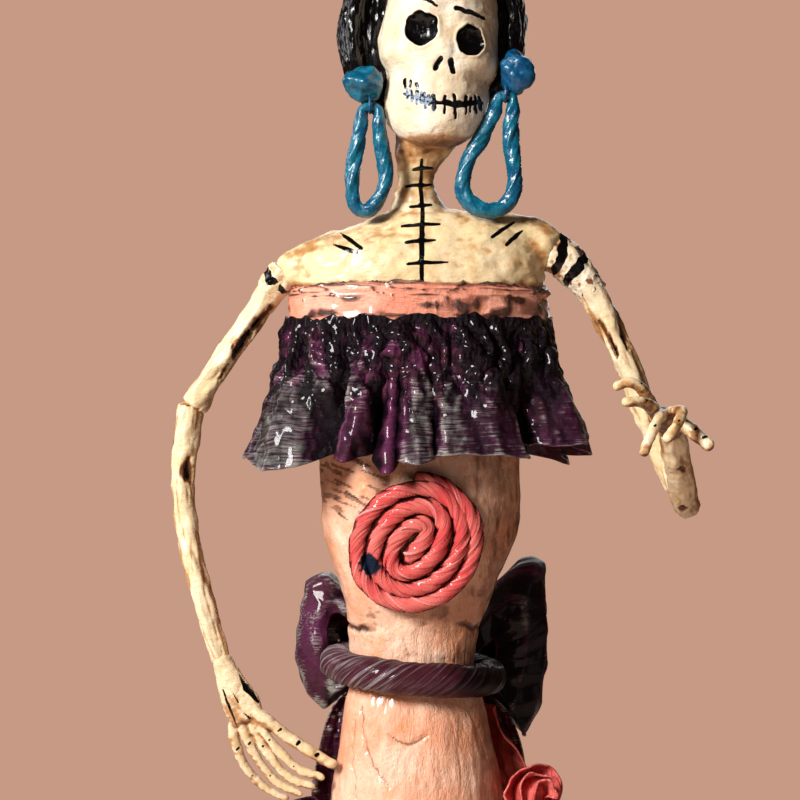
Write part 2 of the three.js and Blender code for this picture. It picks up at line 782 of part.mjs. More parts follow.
// A bow loop in plan is a drop: a ribbon that leaves the knot, turns round and comes back.
function bowLoop(side) {
  const { reach, bottom, top } = BOW[side];
  const { thick } = BOW;
  const outer = new THREE.Shape();
  outer.moveTo(4, 0);
  outer.bezierCurveTo(reach * 0.4, -thick * 0.55, reach, -thick * 0.9, reach, 0);
  outer.bezierCurveTo(reach, thick * 0.6, reach * 0.4, thick * 0.55, 4, 3);
  const inner = new THREE.Path();
  inner.moveTo(9, 0.8);
  inner.bezierCurveTo(reach * 0.45, -thick * 0.38, reach - SHEET, -thick * 0.66, reach - SHEET, 0);
  inner.bezierCurveTo(reach - SHEET, thick * 0.42, reach * 0.45, thick * 0.36, 9, 1.8);
  outer.holes.push(inner);
  const ribbon = new THREE.ExtrudeGeometry(outer, {
    depth: top - bottom,
    bevelEnabled: false,
    curveSegments: 8,
  });
  if (side === "right") ribbon.rotateY(Math.PI);
  if (side === "right") ribbon.translate(0, 0, top - bottom);
  ribbon.translate(KNOT.at[0], KNOT.at[1], bottom);
  return solidOf(ribbon);
}

// A tail is a strip that lies on the back of the overskirt and widens downwards.
function tail(side) {
  const way = side === "right" ? -1 : 1;
  const rows = [0, 0.25, 0.5, 0.75, 1].map((t) => {
    const z = TAILS.bottom + (TAILS.top - TAILS.bottom) * t;
    const [, , back] = drapeAt(z);
    const x = KNOT.at[0] + way * (5 + TAILS.spread * (1 - t));
    const y = back + TAILS.clear + DRAPE_RIPPLE * (1 - t);
    return [z, (TAILS.width / 2) * (1 - 0.55 * t), SHEET / 2, x, y];
  });
  return solidOf(barrel(rows, { sides: 12 }));
}

function buildBow() {
  const knot = solidOf(ellipsoid(KNOT.at, KNOT.r, 0, 12));
  const roomForKnot = solidOf(ellipsoid(KNOT.at, KNOT.r, GAP, 12));
  const nearBody = block(-60, 60, -60, BELT.halfDepth + BELT.r + GAP, TAILS.top - 2, 300);
  const belt = solidOf(nearBody);
  place("bow_knot", "plum", biggest(knot.subtract(belt)));
  for (const side of ["left", "right"]) {
    const loop = bowLoop(side).subtract(roomForKnot).subtract(skirtOf(GAP)).subtract(bodiceOf(GAP));
    place(`bow_loop_${side}`, "plum", biggest(loop.subtract(belt)));
    const hanging = tail(side).subtract(roomForKnot).subtract(belt);
    place(`bow_tail_${side}`, "plum", biggest(hanging));
  }
}

buildBase();
buildGown();
buildRuffles();
buildDrape();
buildTorso();
buildHead();
Object.entries(EARRINGS).forEach(([side, earring]) => buildEarring(side, earring));
Object.entries(ARMS).forEach(([side, arm]) => buildArm(side, arm));
Object.entries(HANDS).forEach(([side, hand]) => buildHand(side, hand));
buildRosette();
buildBelt();
buildBow();

export default model;
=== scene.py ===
"""How a papier-mache catrina looks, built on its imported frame.

Millimetres while shaping, metres in the meshes. +Z is up, the front is -Y, and left and right are
the figure's own.
"""

import math

import bpy
import numpy as np
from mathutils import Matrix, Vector


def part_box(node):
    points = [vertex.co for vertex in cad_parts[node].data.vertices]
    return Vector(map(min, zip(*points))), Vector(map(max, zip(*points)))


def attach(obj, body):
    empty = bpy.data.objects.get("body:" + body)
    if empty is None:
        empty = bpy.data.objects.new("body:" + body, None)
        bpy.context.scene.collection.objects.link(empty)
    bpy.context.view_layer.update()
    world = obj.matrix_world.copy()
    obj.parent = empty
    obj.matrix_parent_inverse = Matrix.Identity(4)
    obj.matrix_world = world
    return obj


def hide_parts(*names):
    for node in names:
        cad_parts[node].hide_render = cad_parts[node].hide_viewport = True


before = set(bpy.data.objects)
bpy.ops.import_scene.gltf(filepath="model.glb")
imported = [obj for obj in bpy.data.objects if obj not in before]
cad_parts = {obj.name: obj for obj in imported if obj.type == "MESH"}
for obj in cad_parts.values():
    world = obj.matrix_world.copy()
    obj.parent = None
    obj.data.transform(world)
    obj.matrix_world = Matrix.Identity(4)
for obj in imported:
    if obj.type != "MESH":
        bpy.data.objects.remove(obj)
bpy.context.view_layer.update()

MM = 0.001
TAU = 2 * math.pi

# ---------------------------------------------------------------- numbers and noise

NOISE_CELLS = 32
NO_INK = -9.0
_tables = {}


def noise(points, size, octaves, seed):
    """Smooth random values, about -1 to 1, at points in mm. size is the feature size, or one per axis."""
    shape = np.shape(points)[:-1]
    p = np.asarray(points, float).reshape(-1, 3) / np.asarray(size, float)
    if seed not in _tables:
        _tables[seed] = np.random.default_rng(seed).random((NOISE_CELLS,) * 3) * 2 - 1
    table, total, amp, norm = _tables[seed], np.zeros(len(p)), 1.0, 0.0
    for k in range(octaves):
        q = p * 2.03**k + 7.31 * k
        cell = np.floor(q).astype(int)
        f = q - cell
        f = f * f * (3 - 2 * f)
        for corner in range(8):
            o = [corner >> a & 1 for a in range(3)]
            w = np.ones(len(p))
            for a in range(3):
                w *= f[:, a] if o[a] else 1 - f[:, a]
            total += amp * w * table[tuple((cell[:, a] + o[a]) % NOISE_CELLS for a in range(3))]
        norm += amp
        amp *= 0.5
    return (total / norm * 1.7).reshape(shape)


def creases(points, size, seed):
    """Sharp valleys between soft swells, 0 in a crease and about 1 on a swell."""
    return np.abs(noise(points, size, 2, seed)) ** 0.8


def facets(points, size, seed, lean=(1, 1, 1)):
    """Crumpled paper: flat facets between sharp folds, about -1 to 1. lean turns the folds."""
    rng = np.random.default_rng(seed)
    total = np.zeros(len(points))
    for k in range(5):
        way = unit(rng.normal(size=3) * lean)
        warp = noise(points + 31 * k, size * 3.5, 2, seed + k)
        phase = points @ way / (size * (0.8 + 0.5 * rng.random())) + 0.9 * warp + rng.random()
        total += np.abs((phase % 2) - 1) * 2 - 1
    return total / 2.6


def ridges(points, size, seed):
    """Crisp raised creases between shallow hollows, 1 along a crease."""
    return (1 - np.abs(noise(points, size, 2, seed)).clip(0, 1)) ** 3


def pleats(angle, count, points, seed):
    """Gathers round a ring: a leaning, branching zigzag, 0 in a fold and 1 on a crest."""
    warp = noise(points, (10, 10, 15), 2, seed) * 1.5 + noise(points, (4.5, 4.5, 8), 2, seed + 1) * 0.6
    return np.abs((angle * count / TAU + warp) % 2 - 1)


def step(a, b, x):
    """0 where x is at a, 1 where it is at b, smooth between."""
    t = np.clip((x - a) / (b - a), 0, 1)
    return t * t * (3 - 2 * t)


def bell(x, width):
    """1 where x is 0, falling away over the width."""
    return np.exp(-((x / width) ** 2))


def spline(points, n, closed=False):
    """n evenly spaced points on a smooth curve through the given rows, and the curve's length."""
    p = np.array(points, float)
    if closed:
        p = np.vstack([p[-1:], p, p[:2]])
    else:
        p = np.vstack([2 * p[0] - p[1], p, 2 * p[-1] - p[-2]])
    t = np.linspace(0, 1, 24, endpoint=False)[:, None]
    dense = []
    for a, b, c, d in zip(p[:-3], p[1:-2], p[2:-1], p[3:]):
        cubic = (-a + 3 * b - 3 * c + d) * t**3 + (2 * a - 5 * b + 4 * c - d) * t**2
        dense.append(0.5 * (2 * b + (c - a) * t + cubic))
    dense = np.vstack(dense + [p[-2][None]])
    s = np.concatenate([[0], np.cumsum(np.linalg.norm(np.diff(dense, axis=0), axis=1))])
    at = np.linspace(0, s[-1], n + 1 if closed else n)[:n]
    return np.stack([np.interp(at, s, dense[:, i]) for i in range(dense.shape[1])], 1), s[-1]


def along(values, n):
    """A short list of values, smoothly stretched to n."""
    return spline([[k, v] for k, v in enumerate(values)], n * 4)[0][::4, 1]


def unit(v):
    return v / np.maximum(np.linalg.norm(v, axis=-1, keepdims=True), 1e-9)


def box_mm(node):
    low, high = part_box(node)
    return np.array(low) / MM, np.array(high) / MM


# ---------------------------------------------------------------- surfaces

def grid_faces(rows, cols, closed_cols=True, closed_rows=False):
    r = np.arange(rows if closed_rows else rows - 1)
    c = np.arange(cols if closed_cols else cols - 1)
    r, c = np.meshgrid(r, c, indexing="ij")
    up, over = (r + 1) % rows, (c + 1) % cols
    quads = np.stack([r * cols + c, r * cols + over, up * cols + over, up * cols + c], -1)
    return quads.reshape(-1, 4)


def tube(centres, radius, sides, closed=False, facing=None):
    """Points (rows, sides, 3) round a centre line, and the outward direction at each."""
    c = np.asarray(centres, float)
    t = np.roll(c, -1, 0) - np.roll(c, 1, 0) if closed else np.gradient(c, axis=0)
    t = unit(t)
    if facing is not None:
        f = np.asarray(facing, float)
        front = unit(f - (t @ f)[:, None] * t)
        side = np.cross(front, t)
    else:
        side = np.zeros_like(t)
        v = np.cross(t[0], [0.3, 0.1, 1.0])
        for k in range(len(t)):
            v = unit(v - t[k] * (v @ t[k]))
            side[k] = v
        front = np.cross(t, side)
    angle = np.linspace(0, TAU, sides, endpoint=False)
    out = side[:, None] * np.cos(angle)[None, :, None] + front[:, None] * np.sin(angle)[None, :, None]
    if np.ndim(radius) == 1:
        radius = np.reshape(radius, (-1, 1))
    radius = np.broadcast_to(radius, (len(c), sides))
    return c[:, None] + out * radius[..., None], out


def flat_tube(centres, across, through, facing, sides):
    """A tube whose section is an ellipse, thin along `facing`."""
    _, out = tube(centres, 1.0, sides, facing=facing)
    c = np.asarray(centres, float)[:, None]
    t = unit(np.gradient(np.asarray(centres, float), axis=0))
    f = np.asarray(facing, float)
    front = unit(f - (t @ f)[:, None] * t)
    side = np.cross(front, t)
    a = (out * side[:, None]).sum(-1, keepdims=True) * np.reshape(across, (-1, 1, 1))
    b = (out * front[:, None]).sum(-1, keepdims=True) * np.reshape(through, (-1, 1, 1))
    return c + side[:, None] * a + front[:, None] * b


def round_ends(length, n, radius):
    """Shares of full radius along a tube whose ends are domes."""
    s = np.linspace(0, length, n)
    share = np.ones(n)
    for away in (s, length - s):
        share = np.minimum(share, np.sqrt(np.clip(1 - (1 - away / radius).clip(0) ** 2, 0, 1)))
    return np.maximum(share, 0.02)


def capped(points):
    """A tube's points closed at both ends: (points, faces)."""
    rows, cols = points.shape[:2]
    v = np.vstack([points.reshape(-1, 3), points[0].mean(0), points[-1].mean(0)])
    i = np.arange(cols)
    j = (i + 1) % cols
    first = np.stack([np.full(cols, rows * cols), j, i], 1)
    base = (rows - 1) * cols
    last = np.stack([np.full(cols, rows * cols + 1), base + i, base + j], 1)
    return v, [grid_faces(rows, cols), first, last]


def looped(points):
    """A tube's points joined end to end: (points, faces)."""
    rows, cols = points.shape[:2]
    return points.reshape(-1, 3), [grid_faces(rows, cols, True, True)]


def neighbours(faces):
    pairs = np.concatenate([np.stack([f[:, k], np.roll(f, -1, 1)[:, k]], 1)
                            for f in faces for k in range(f.shape[1])])
    return np.concatenate([pairs, pairs[:, ::-1]])


def relaxed(values, faces, rounds, amount=0.5):
    """Values per point, each drawn that share of the way to its neighbours' mean, round by round."""
    e, n = neighbours(faces), len(values)
    count = np.maximum(np.bincount(e[:, 0], minlength=n), 1)[:, None]
    v = np.array(values, float)
    for _ in range(rounds):
        total = np.stack([np.bincount(e[:, 0], v[e[:, 1], k], n) for k in range(v.shape[1])], 1)
        v += amount * (total / count - v)
    return v


def normals_of(v, faces):
    n = np.zeros_like(v)
    for f in faces:
        cross = np.cross(v[f[:, 2]] - v[f[:, 0]], v[f[:, -1]] - v[f[:, 1]])
        for k in range(f.shape[1]):
            for a in range(3):
                n[:, a] += np.bincount(f[:, k], cross[:, a], len(v))
    return unit(n)


def hollows(v, faces, rounds):
    """How deep each point lies below its surroundings, in mm."""
    return ((relaxed(v, faces, rounds) - v) * normals_of(v, faces)).sum(1)


def joined(parts):
    points, faces, n = [], [], 0
    for v, fs in parts:
        points.append(v)
        faces += [f + n for f in fs]
        n += len(v)
    return np.vstack(points), faces


def raw_mesh(name, v, faces):
    mesh = bpy.data.meshes.new(name)
    sizes = np.concatenate([np.full(len(f), f.shape[1]) for f in faces])
    loops = np.concatenate([f.ravel() for f in faces])
    mesh.vertices.add(len(v))
    mesh.vertices.foreach_set("co", (np.asarray(v) * MM).ravel())
    mesh.loops.add(len(loops))
    mesh.loops.foreach_set("vertex_index", loops)
    mesh.polygons.add(len(sizes))
    mesh.polygons.foreach_set("loop_start", np.concatenate([[0], np.cumsum(sizes)[:-1]]))
    mesh.update(calc_edges=True)
    mesh.polygons.foreach_set("use_smooth", np.ones(len(sizes), bool))
    return mesh


def linked(name, data):
    """A new object in the scene."""
    obj = bpy.data.objects.new(name, data)
    bpy.context.scene.collection.objects.link(obj)
    return obj


def melted(parts, voxel):
    """Closed surfaces melted into one skin of quads: (points, faces)."""
    v, faces = joined(parts)
    mesh = raw_mesh("melt", v, faces)
    obj = linked("melt", mesh)
    remesh = obj.modifiers.new("melt", "REMESH")
    remesh.mode, remesh.voxel_size = "VOXEL", voxel * MM
    made = obj.evaluated_get(bpy.context.evaluated_depsgraph_get()).to_mesh()
    points = np.empty(len(made.vertices) * 3)
    made.vertices.foreach_get("co", points)
    loops = np.empty(len(made.loops), int)
    made.loops.foreach_get("vertex_index", loops)
    bpy.data.objects.remove(obj)
    bpy.data.meshes.remove(mesh)
    return points.reshape(-1, 3) / MM, [loops.reshape(-1, 4)]


def shell(points, thickness, closed_cols=True):
    """A sheet given as a grid of points on its outer side, with its back a little way in."""
    rows, cols = points.shape[:2]
    flat = points.reshape(-1, 3)
    face = grid_faces(rows, cols, closed_cols)
    n = normals_of(flat, [face])
    count = rows * cols
    back = face[:, ::-1] + count
    top, side = np.arange(cols), np.arange(rows) * cols
    rims = [rim(top, count, False, closed_cols), rim((rows - 1) * cols + top, count, True, closed_cols)]
    if not closed_cols:
        rims += [rim(side, count, True, False), rim(side + cols - 1, count, False, False)]
    return np.vstack([flat, flat - n * thickness]), [face, back, *rims]


def rim(edge, count, flip, closed):
    """Quads that join an edge of a sheet to the same edge of its back."""
    a = edge if closed else edge[:-1]
    b = np.roll(edge, -1) if closed else edge[1:]
    quads = np.stack([b, a, a + count, b + count], 1)
    return quads[:, ::-1] if flip else quads


def show(name, surface, material, slot, nodes, body="figure", **marks):
    """Makes a piece from points in mm. marks are numbers or vectors per point, which its material reads."""
    v, faces = surface
    mesh = raw_mesh(name, v, faces)
    for mark, values in marks.items():
        values = np.asarray(values, float)
        kind = "FLOAT_VECTOR" if values.ndim == 2 else "FLOAT"
        data = mesh.attributes.new(mark, kind, "POINT").data
        data.foreach_set("vector" if values.ndim == 2 else "value", values.ravel())
    mesh.materials.append(material)
    obj = linked(name, mesh)
    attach(obj, body)
    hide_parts(*nodes)
    return obj


# ---------------------------------------------------------------- materials

def rgb(r, g, b):
    """A linear colour from the 0 to 255 values of a screen."""
    def linear(c):
        c /= 255
        return c / 12.92 if c <= 0.04045 else ((c + 0.055) / 1.055) ** 2.4
    return (linear(r), linear(g), linear(b), 1)


class Paint:
    """A short way to write a node material. Lengths are in mm."""

    def __init__(self, name):
        self.material = bpy.data.materials.new(name)
        self.material.use_nodes = True
        self.nodes, self.links = self.material.node_tree.nodes, self.material.node_tree.links
        self.nodes.clear()
        place = self.node("ShaderNodeTexCoord").outputs["Object"]
        self.where = self.vector("MULTIPLY", place, (1 / MM,) * 3)

    def node(self, kind, inputs=None, **settings):
        made = self.nodes.new(kind)
        for key, value in settings.items():
            setattr(made, key, value)
        for key, value in (inputs or {}).items():
            if isinstance(value, bpy.types.NodeSocket):
                self.links.new(value, made.inputs[key])
            else:
                made.inputs[key].default_value = value
        return made

    def vector(self, operation, a, b):
        return self.node("ShaderNodeVectorMath", {0: a, 1: b}, operation=operation).outputs[0]

    def stretched(self, size, where=None):
        return self.vector("MULTIPLY", self.where if where is None else where, tuple(1 / s for s in size))

    def noise(self, size, detail=3.0, rough=0.5, where=None):
        size = size if isinstance(size, tuple) else (size,) * 3
        values = {"Vector": self.stretched(size, where), "Scale": 1.0, "Detail": detail, "Roughness": rough}
        return self.node("ShaderNodeTexNoise", values).outputs[0]

    def crumple(self, size):
        """Flat-sided cells with crisp edges, like paper that was screwed up."""
        sway = self.node("ShaderNodeTexNoise", {"Vector": self.stretched((size[0] * 2.2,) * 3), "Scale": 1.0})
        sway = self.vector("MULTIPLY", sway.outputs["Color"], (0.5,) * 3)
        values = {"Vector": self.vector("ADD", self.stretched(size), sway), "Scale": 1.0}
        return self.node("ShaderNodeTexVoronoi", values, feature="F1").outputs["Distance"]

    def mark(self, name):
        return self.node("ShaderNodeAttribute", attribute_name=name).outputs["Fac"]

    def place(self, name):
        return self.node("ShaderNodeAttribute", attribute_name=name).outputs["Vector"]

    def span(self, value, low, high, to_low=0.0, to_high=1.0):
        values = {"Value": value, "From Min": low, "From Max": high, "To Min": to_low, "To Max": to_high}
        return self.node("ShaderNodeMapRange", values, interpolation_type="SMOOTHSTEP").outputs[0]

    def math(self, operation, a, b):
        return self.node("ShaderNodeMath", {0: a, 1: b}, operation=operation).outputs[0]

    def times(self, a, b):
        return self.math("MULTIPLY", a, b)

    def rubbed(self, mark, grain, amount):
        """A mark made ragged by a grain: more of it where the grain is high."""
        return self.math("ADD", self.mark(mark), self.times(self.math("SUBTRACT", grain, 0.5), amount))

    def mix(self, share, a, b):
        made = self.node("ShaderNodeMix", data_type="RGBA")
        for socket, value in ((made.inputs[0], share), (made.inputs[6], a), (made.inputs[7], b)):
            if isinstance(value, bpy.types.NodeSocket):
                self.links.new(value, socket)
            else:
                socket.default_value = value
        return made.outputs[2]

    def bump(self, height, depth, normal=None):
        values = {"Height": height, "Distance": depth * MM, "Strength": 1.0}
        if normal is not None:
            values["Normal"] = normal
        return self.node("ShaderNodeBump", values).outputs[0]

    def finish(self, colour, rough, normal=None, coat=0.0, coat_rough=0.1, metal=0.0, specular=0.5):
        values = {"Base Color": colour, "Roughness": rough, "Metallic": metal, "Coat Weight": coat,
                  "Coat Roughness": coat_rough, "Specular IOR Level": specular}
        if normal is not None:
            values["Normal"] = normal
        shader = self.node("ShaderNodeBsdfPrincipled", values)
        self.links.new(shader.outputs[0], self.node("ShaderNodeOutputMaterial").inputs[0])
        return self.material


def bone_paint():
    """Cream paper skin: amber antiquing rubbed into the hollows with painted shade in the same browns, black
    brush marks, thick varnish.
    """
    p = Paint("bone_paper")
    broad, patch, fine = p.noise(11, 3), p.noise(4.2, 5, 0.62), p.noise(0.9, 4, 0.6)
    colour = p.mix(p.span(broad, 0.35, 0.65), rgb(246, 237, 220), rgb(234, 214, 182))
    colour = p.mix(p.times(p.mark("amber"), 0.75), colour, rgb(232, 200, 138))
    stain = p.math("ADD", p.span(patch, 0.5, 0.72, 0, 0.4), p.times(p.mark("amber"), 0.12))
    colour = p.mix(p.times(p.span(patch, 0.42, 0.62), stain), colour, rgb(206, 150, 82))
    colour = p.mix(p.times(p.span(fine, 0.56, 0.72), 0.35), colour, rgb(196, 148, 92))
    # Brown, then near black: antiquing in the hollows, and painted shade in hollows, undersides, joins and on
    # the sides away from the light.
    wash = p.rubbed("wash", patch, 0.9)
    colour = p.mix(p.span(wash, 0.12, 0.62, 0, 0.85), colour, rgb(176, 116, 58))
    colour = p.mix(p.span(wash, 0.62, 1.15, 0, 0.92), colour, rgb(84, 42, 18))
    # Black ink; on the arms the same black is painted shade at the bottom of the deepest hollows.
    ink = p.span(p.mark("ink"), -0.07, 0.07)
    worn = p.times(p.mark("worn"), p.span(p.noise(0.8, 3), 0.38, 0.6))
    colour = p.mix(ink, colour, p.mix(worn, rgb(4, 4, 6), rgb(150, 168, 190)))
    paper = p.math("SUBTRACT", 1.0, p.times(ink, 0.85))
    rough = p.math("MAXIMUM", 0.14, p.times(p.span(patch, 0.3, 0.7, 0.34, 0.5), paper))
    normal = p.bump(p.noise(0.6, 4, 0.65), 0.09)
    normal = p.bump(p.times(p.noise((3.0, 3.0, 1.1), 4, 0.6), paper), 0.30, normal)
    normal = p.bump(ink, 0.08, normal)
    return p.finish(colour, rough, normal, p.times(paper, 0.4), 0.14, specular=0.4)


def gown_paint(name, light, mid, dark, lines=(0.4, 0.4, 1.5)):
    """Peach paper skin with fine crepe lines, brown antiquing and painted shade in the wrinkles, painted
    shade on shaded sides, and thick varnish.
    """
    p = Paint(name)
    broad, patch = p.noise(16, 4, 0.55), p.noise(5, 5, 0.62)
    thread = p.noise(lines, 3, 0.6)
    colour = p.mix(p.span(broad, 0.35, 0.68), light, mid)
    colour = p.mix(p.times(p.span(patch, 0.5, 0.75), 0.5), colour, mid)
    colour = p.mix(p.times(p.span(thread, 0.5, 0.7), 0.4), colour, mid)
    colour = p.mix(p.span(p.noise(7, 4, 0.6), 0.56, 0.7, 0, 0.5), colour, rgb(236, 148, 84))
    # Brown, then near black: antiquing in the wrinkles and cracks, and painted shade in the wrinkles, under
    # the ruffle and the belt, and down the right side.
    wash = p.rubbed("wash", patch, 0.8)
    colour = p.mix(p.span(wash, 0.15, 0.7, 0, 0.7), colour, dark)
    colour = p.mix(p.span(wash, 0.7, 1.2, 0, 0.95), colour, rgb(58, 26, 12))
    flecks = p.span(p.noise(0.7, 3, 0.6), 0.63, 0.7)
    colour = p.mix(p.times(flecks, p.span(patch, 0.45, 0.6, 0, 0.5)), colour, dark)
    normal = p.bump(thread, 0.28)
    normal = p.bump(p.noise(0.8, 4, 0.7), 0.30, normal)
    normal = p.bump(p.noise(3.4, 3, 0.6), 0.35, normal)
    return p.finish(colour, p.span(thread, 0.3, 0.7, 0.3, 0.46), normal, 0.6, 0.15)


def crepe_paint(name, base, tint, dark, high, high_share, line=0.42):
    """Varnished crepe: lines along the piece's own `fibre` places, painted shade in the folds, dry brushing
    and painted highlight on ridges.
    """
    p = Paint(name)
    fibre = p.place("fibre")
    thread = p.noise((line, line, line * 16), 4, 0.65, fibre)
    streak = p.noise((line * 2.6, line * 2.6, 16.0), 3, 0.55, fibre)
    colour = p.mix(p.span(p.noise(9, 3), 0.38, 0.62), base, tint)
    colour = p.mix(p.times(p.span(streak, 0.46, 0.7), 0.55), colour, tint)
    # A pale colour on ridges: silver dry brushing on the ruffles and bow, painted highlight on the crowns of
    # the ropes and on the lit bow loop.
    colour = p.mix(p.span(p.rubbed("ridge", thread, 1.9), 0.3, 0.85, 0, high_share), colour, high)
    colour = p.mix(p.times(p.span(thread, 0.46, 0.34), 0.6), colour, dark)
    # A painted highlight in magenta along the crests of the gathers.
    colour = p.mix(p.mark("crest"), colour, rgb(150, 66, 122))
    # Painted shade: dark in the folds and hollows and on the sides away from the light; the blue-black stain
    # below is the paper's own.
    colour = p.mix(p.span(p.mark("wash"), 0.12, 0.75, 0, 0.97), colour, dark)
    colour = p.mix(p.span(p.mark("stain"), 0.2, 0.6), colour, rgb(8, 26, 46))
    normal = p.bump(thread, 0.5)
    normal = p.bump(p.times(p.crumple((1.2, 1.2, 2.4)), p.mark("screwed")), 0.8, normal)
    normal = p.bump(p.noise(1.1, 4, 0.65), 0.16, normal)
    return p.finish(colour, p.span(thread, 0.3, 0.7, 0.36, 0.56), normal, 0.3, 0.1, specular=0.1)


def teal_paint(name, base, tint, light):
    """Painted paper with patches of two teals and deep blue painted shade in its hollows."""
    p = Paint(name)
    patch = p.noise(2.6, 4, 0.6)
    colour = p.mix(p.span(patch, 0.35, 0.65), base, tint)
    colour = p.mix(p.times(p.span(p.noise(1.1, 3), 0.52, 0.75), 0.4), colour, light)
    # Painted shade: deep blue in the hollows.
    wash = p.rubbed("wash", p.noise(1.4, 3), 0.7)
    colour = p.mix(p.span(wash, 0.12, 0.8, 0, 0.9), colour, rgb(2, 36, 66))
    normal = p.bump(p.noise(0.6, 3, 0.6), 0.10)
    normal = p.bump(p.noise(1.6, 3, 0.6), 0.22, normal)
    return p.finish(colour, p.span(patch, 0.3, 0.7, 0.26, 0.44), normal, 0.4, 0.12, specular=0.4)


def hair_paint():
    """Shiny black, a little lighter along the strands."""
    p = Paint("hair_paper")
    thread = p.noise((0.4, 0.4, 6.0), 3, 0.6, p.place("fibre"))
    colour = p.mix(p.span(thread, 0.55, 0.8), rgb(3, 3, 5), rgb(14, 15, 20))
    normal = p.bump(thread, 0.10)
    normal = p.bump(p.crumple((1.2, 1.2, 5.0)), 0.3, normal)
    return p.finish(colour, p.span(thread, 0.3, 0.7, 0.18, 0.3), normal, specular=0.34)


def plain_paint(name, light, dark, size, rough, bump, metal=0.0):
    """One grain for colour, roughness and bump: for the CAD parts that stay as they are."""
    p = Paint(name)
    grain = p.noise(size, 4.0, 0.6)
    colour = p.mix(p.span(grain, 0.35, 0.65), light, dark)
    roughness = p.span(grain, 0.3, 0.7, rough, min(1.0, rough + 0.15))
    return p.finish(colour, roughness, p.bump(grain, bump), metal=metal)


# ---------------------------------------------------------------- shaping helpers

def loft(rows, n, cols, power=2.0, crowd=0.0):
    """A stack of rounded sections [z, half width, half depth, x, y], seen from the front at column 0."""
    table, _ = spline([list(r) + [0] * (5 - len(r)) for r in rows], n)
    u = np.linspace(0, TAU, cols, endpoint=False)
    turn = u - crowd * np.sin(u)
    s, c = np.sin(turn), np.cos(turn)
    s, c = np.sign(s) * np.abs(s) ** (2 / power), np.sign(c) * np.abs(c) ** (2 / power)
    z, w, d, x, y = (table[:, k : k + 1] for k in range(5))
    return np.stack([x + w * s, y - d * c, np.broadcast_to(z, (n, cols))], -1)


def section_at(rows, z):
    """Half width, half depth and x of a stack of sections, at heights between them."""
    rows = np.array(rows)
    return [np.interp(z, rows[:, 0], rows[:, k]) for k in (1, 2, 3)]


def ball(centre, radii, n, cols):
    """A closed ellipsoid of n rings: (points, faces)."""
    rows = [[centre[2] + radii[2] * math.cos(a), radii[0] * math.sin(a), radii[1] * math.sin(a), *centre[:2]]
            for a in np.linspace(0.02, math.pi - 0.02, n)[::-1]]
    return capped(loft(rows, n, cols))


def limb(path, radii, n, sides, blunt, facing=None, through=None):
    """A round or flattened rod with domed ends, and each point's place on its skin: across, across, along."""
    centres, length = spline(path, n)
    share = round_ends(length, n, blunt)
    across = along(radii, n) * share
    if facing is None:
        points, _ = tube(centres, across, sides)
    else:
        points = flat_tube(centres, across, along(through, n) * share, facing, sides)
    turn, s = np.linspace(0, TAU, sides, endpoint=False)[None], np.linspace(0, length, n)[:, None]
    skin = np.stack(np.broadcast_arrays(3.2 * np.cos(turn), 3.2 * np.sin(turn), s), -1).reshape(-1, 3)
    return capped(points), np.vstack([skin, [[0, 0, 0], [0, 0, length]]])


def pushed(surface, amount):
    """A surface with each point moved out by its amount, in mm."""
    v, faces = surface
    return v + normals_of(v, faces) * np.reshape(amount, (-1, 1)), faces


def pushed_grid(grid, amount, closed_cols=True):
    rows, cols = grid.shape[:2]
    return pushed((grid.reshape(-1, 3), [grid_faces(rows, cols, closed_cols)]), amount)[0].reshape(grid.shape)


def brush(places, line, half):
    """How far inside a painted line each place lies, in mm; half widths may change along it."""
    ink = np.full(len(places), NO_INK)
    line, half = np.array(line, float), np.broadcast_to(half, len(line))
    for a, b, wide, narrow in zip(line[:-1], line[1:], half[:-1], half[1:]):
        t = np.clip(((places - a) @ (b - a)) / max((b - a) @ (b - a), 1e-6), 0, 1)
        away = np.linalg.norm(places - a - t[:, None] * (b - a), axis=1)
        ink = np.maximum(ink, wide + (narrow - wide) * t - away)
    return ink


def painted(v, strokes, facing=None, wobble=0.12):
    """The ink of many strokes (points, half widths) given as (x, z) on the front, or as (x, y, z)."""
    moved = v + np.stack([noise(v + k * 50, 1.7, 2, 7) for k in range(3)], 1) * wobble
    ink = np.full(len(v), NO_INK)
    for line, half in strokes:
        places = moved if len(line[0]) == 3 else moved[:, [0, 2]]
        ink = np.maximum(ink, brush(places, line, half))
    return ink if facing is None else np.where(facing, ink, NO_INK)


def rope(path, radius, n, sides, strands, groove, slant, seed, closed=True):
    """A twisted crepe cord: (surface, fibre places, depth of the grooves)."""
    centres, length = spline(path, n, closed)
    s = np.linspace(0, length, n, endpoint=not closed)
    radius = np.broadcast_to(radius, n)
    turns = slant * length / (TAU * radius.mean())
    turns = round(turns * strands) / strands
    angle = np.linspace(0, TAU, sides, endpoint=False)
    psi = angle[None] - (TAU * turns * s / length)[:, None]
    fibre = np.stack([np.cos(psi) * radius[:, None], np.sin(psi) * radius[:, None], s[:, None] + 0 * psi], -1)
    cut = 1 - np.abs(np.sin(strands * psi / 2)) ** 0.55
    share = 1 - groove * cut + 0.26 / radius.mean() * noise(fibre, (0.75, 0.75, 16), 2, seed)
    share = share + 0.05 * noise(fibre, (9, 9, 7), 2, seed + 1)
    if not closed:
        share = share * round_ends(length, n, 1.2)[:, None]
    points, _ = tube(centres, radius[:, None] * share, sides, closed)
    if closed:
        return looped(points), fibre.reshape(-1, 3), cut.ravel()
    fibre = np.vstack([fibre.reshape(-1, 3), fibre[0].mean(0), fibre[-1].mean(0)])
    return capped(points), fibre, np.concatenate([cut.ravel(), [0, 0]])


def lines_round(v):
    """Fibre places for crepe lines that run round a garment."""
    wave = noise(v, 14, 2, 21) * 1.2
    return np.stack([v[:, 2] + wave, v[:, 0] / 16, v[:, 1]], 1)


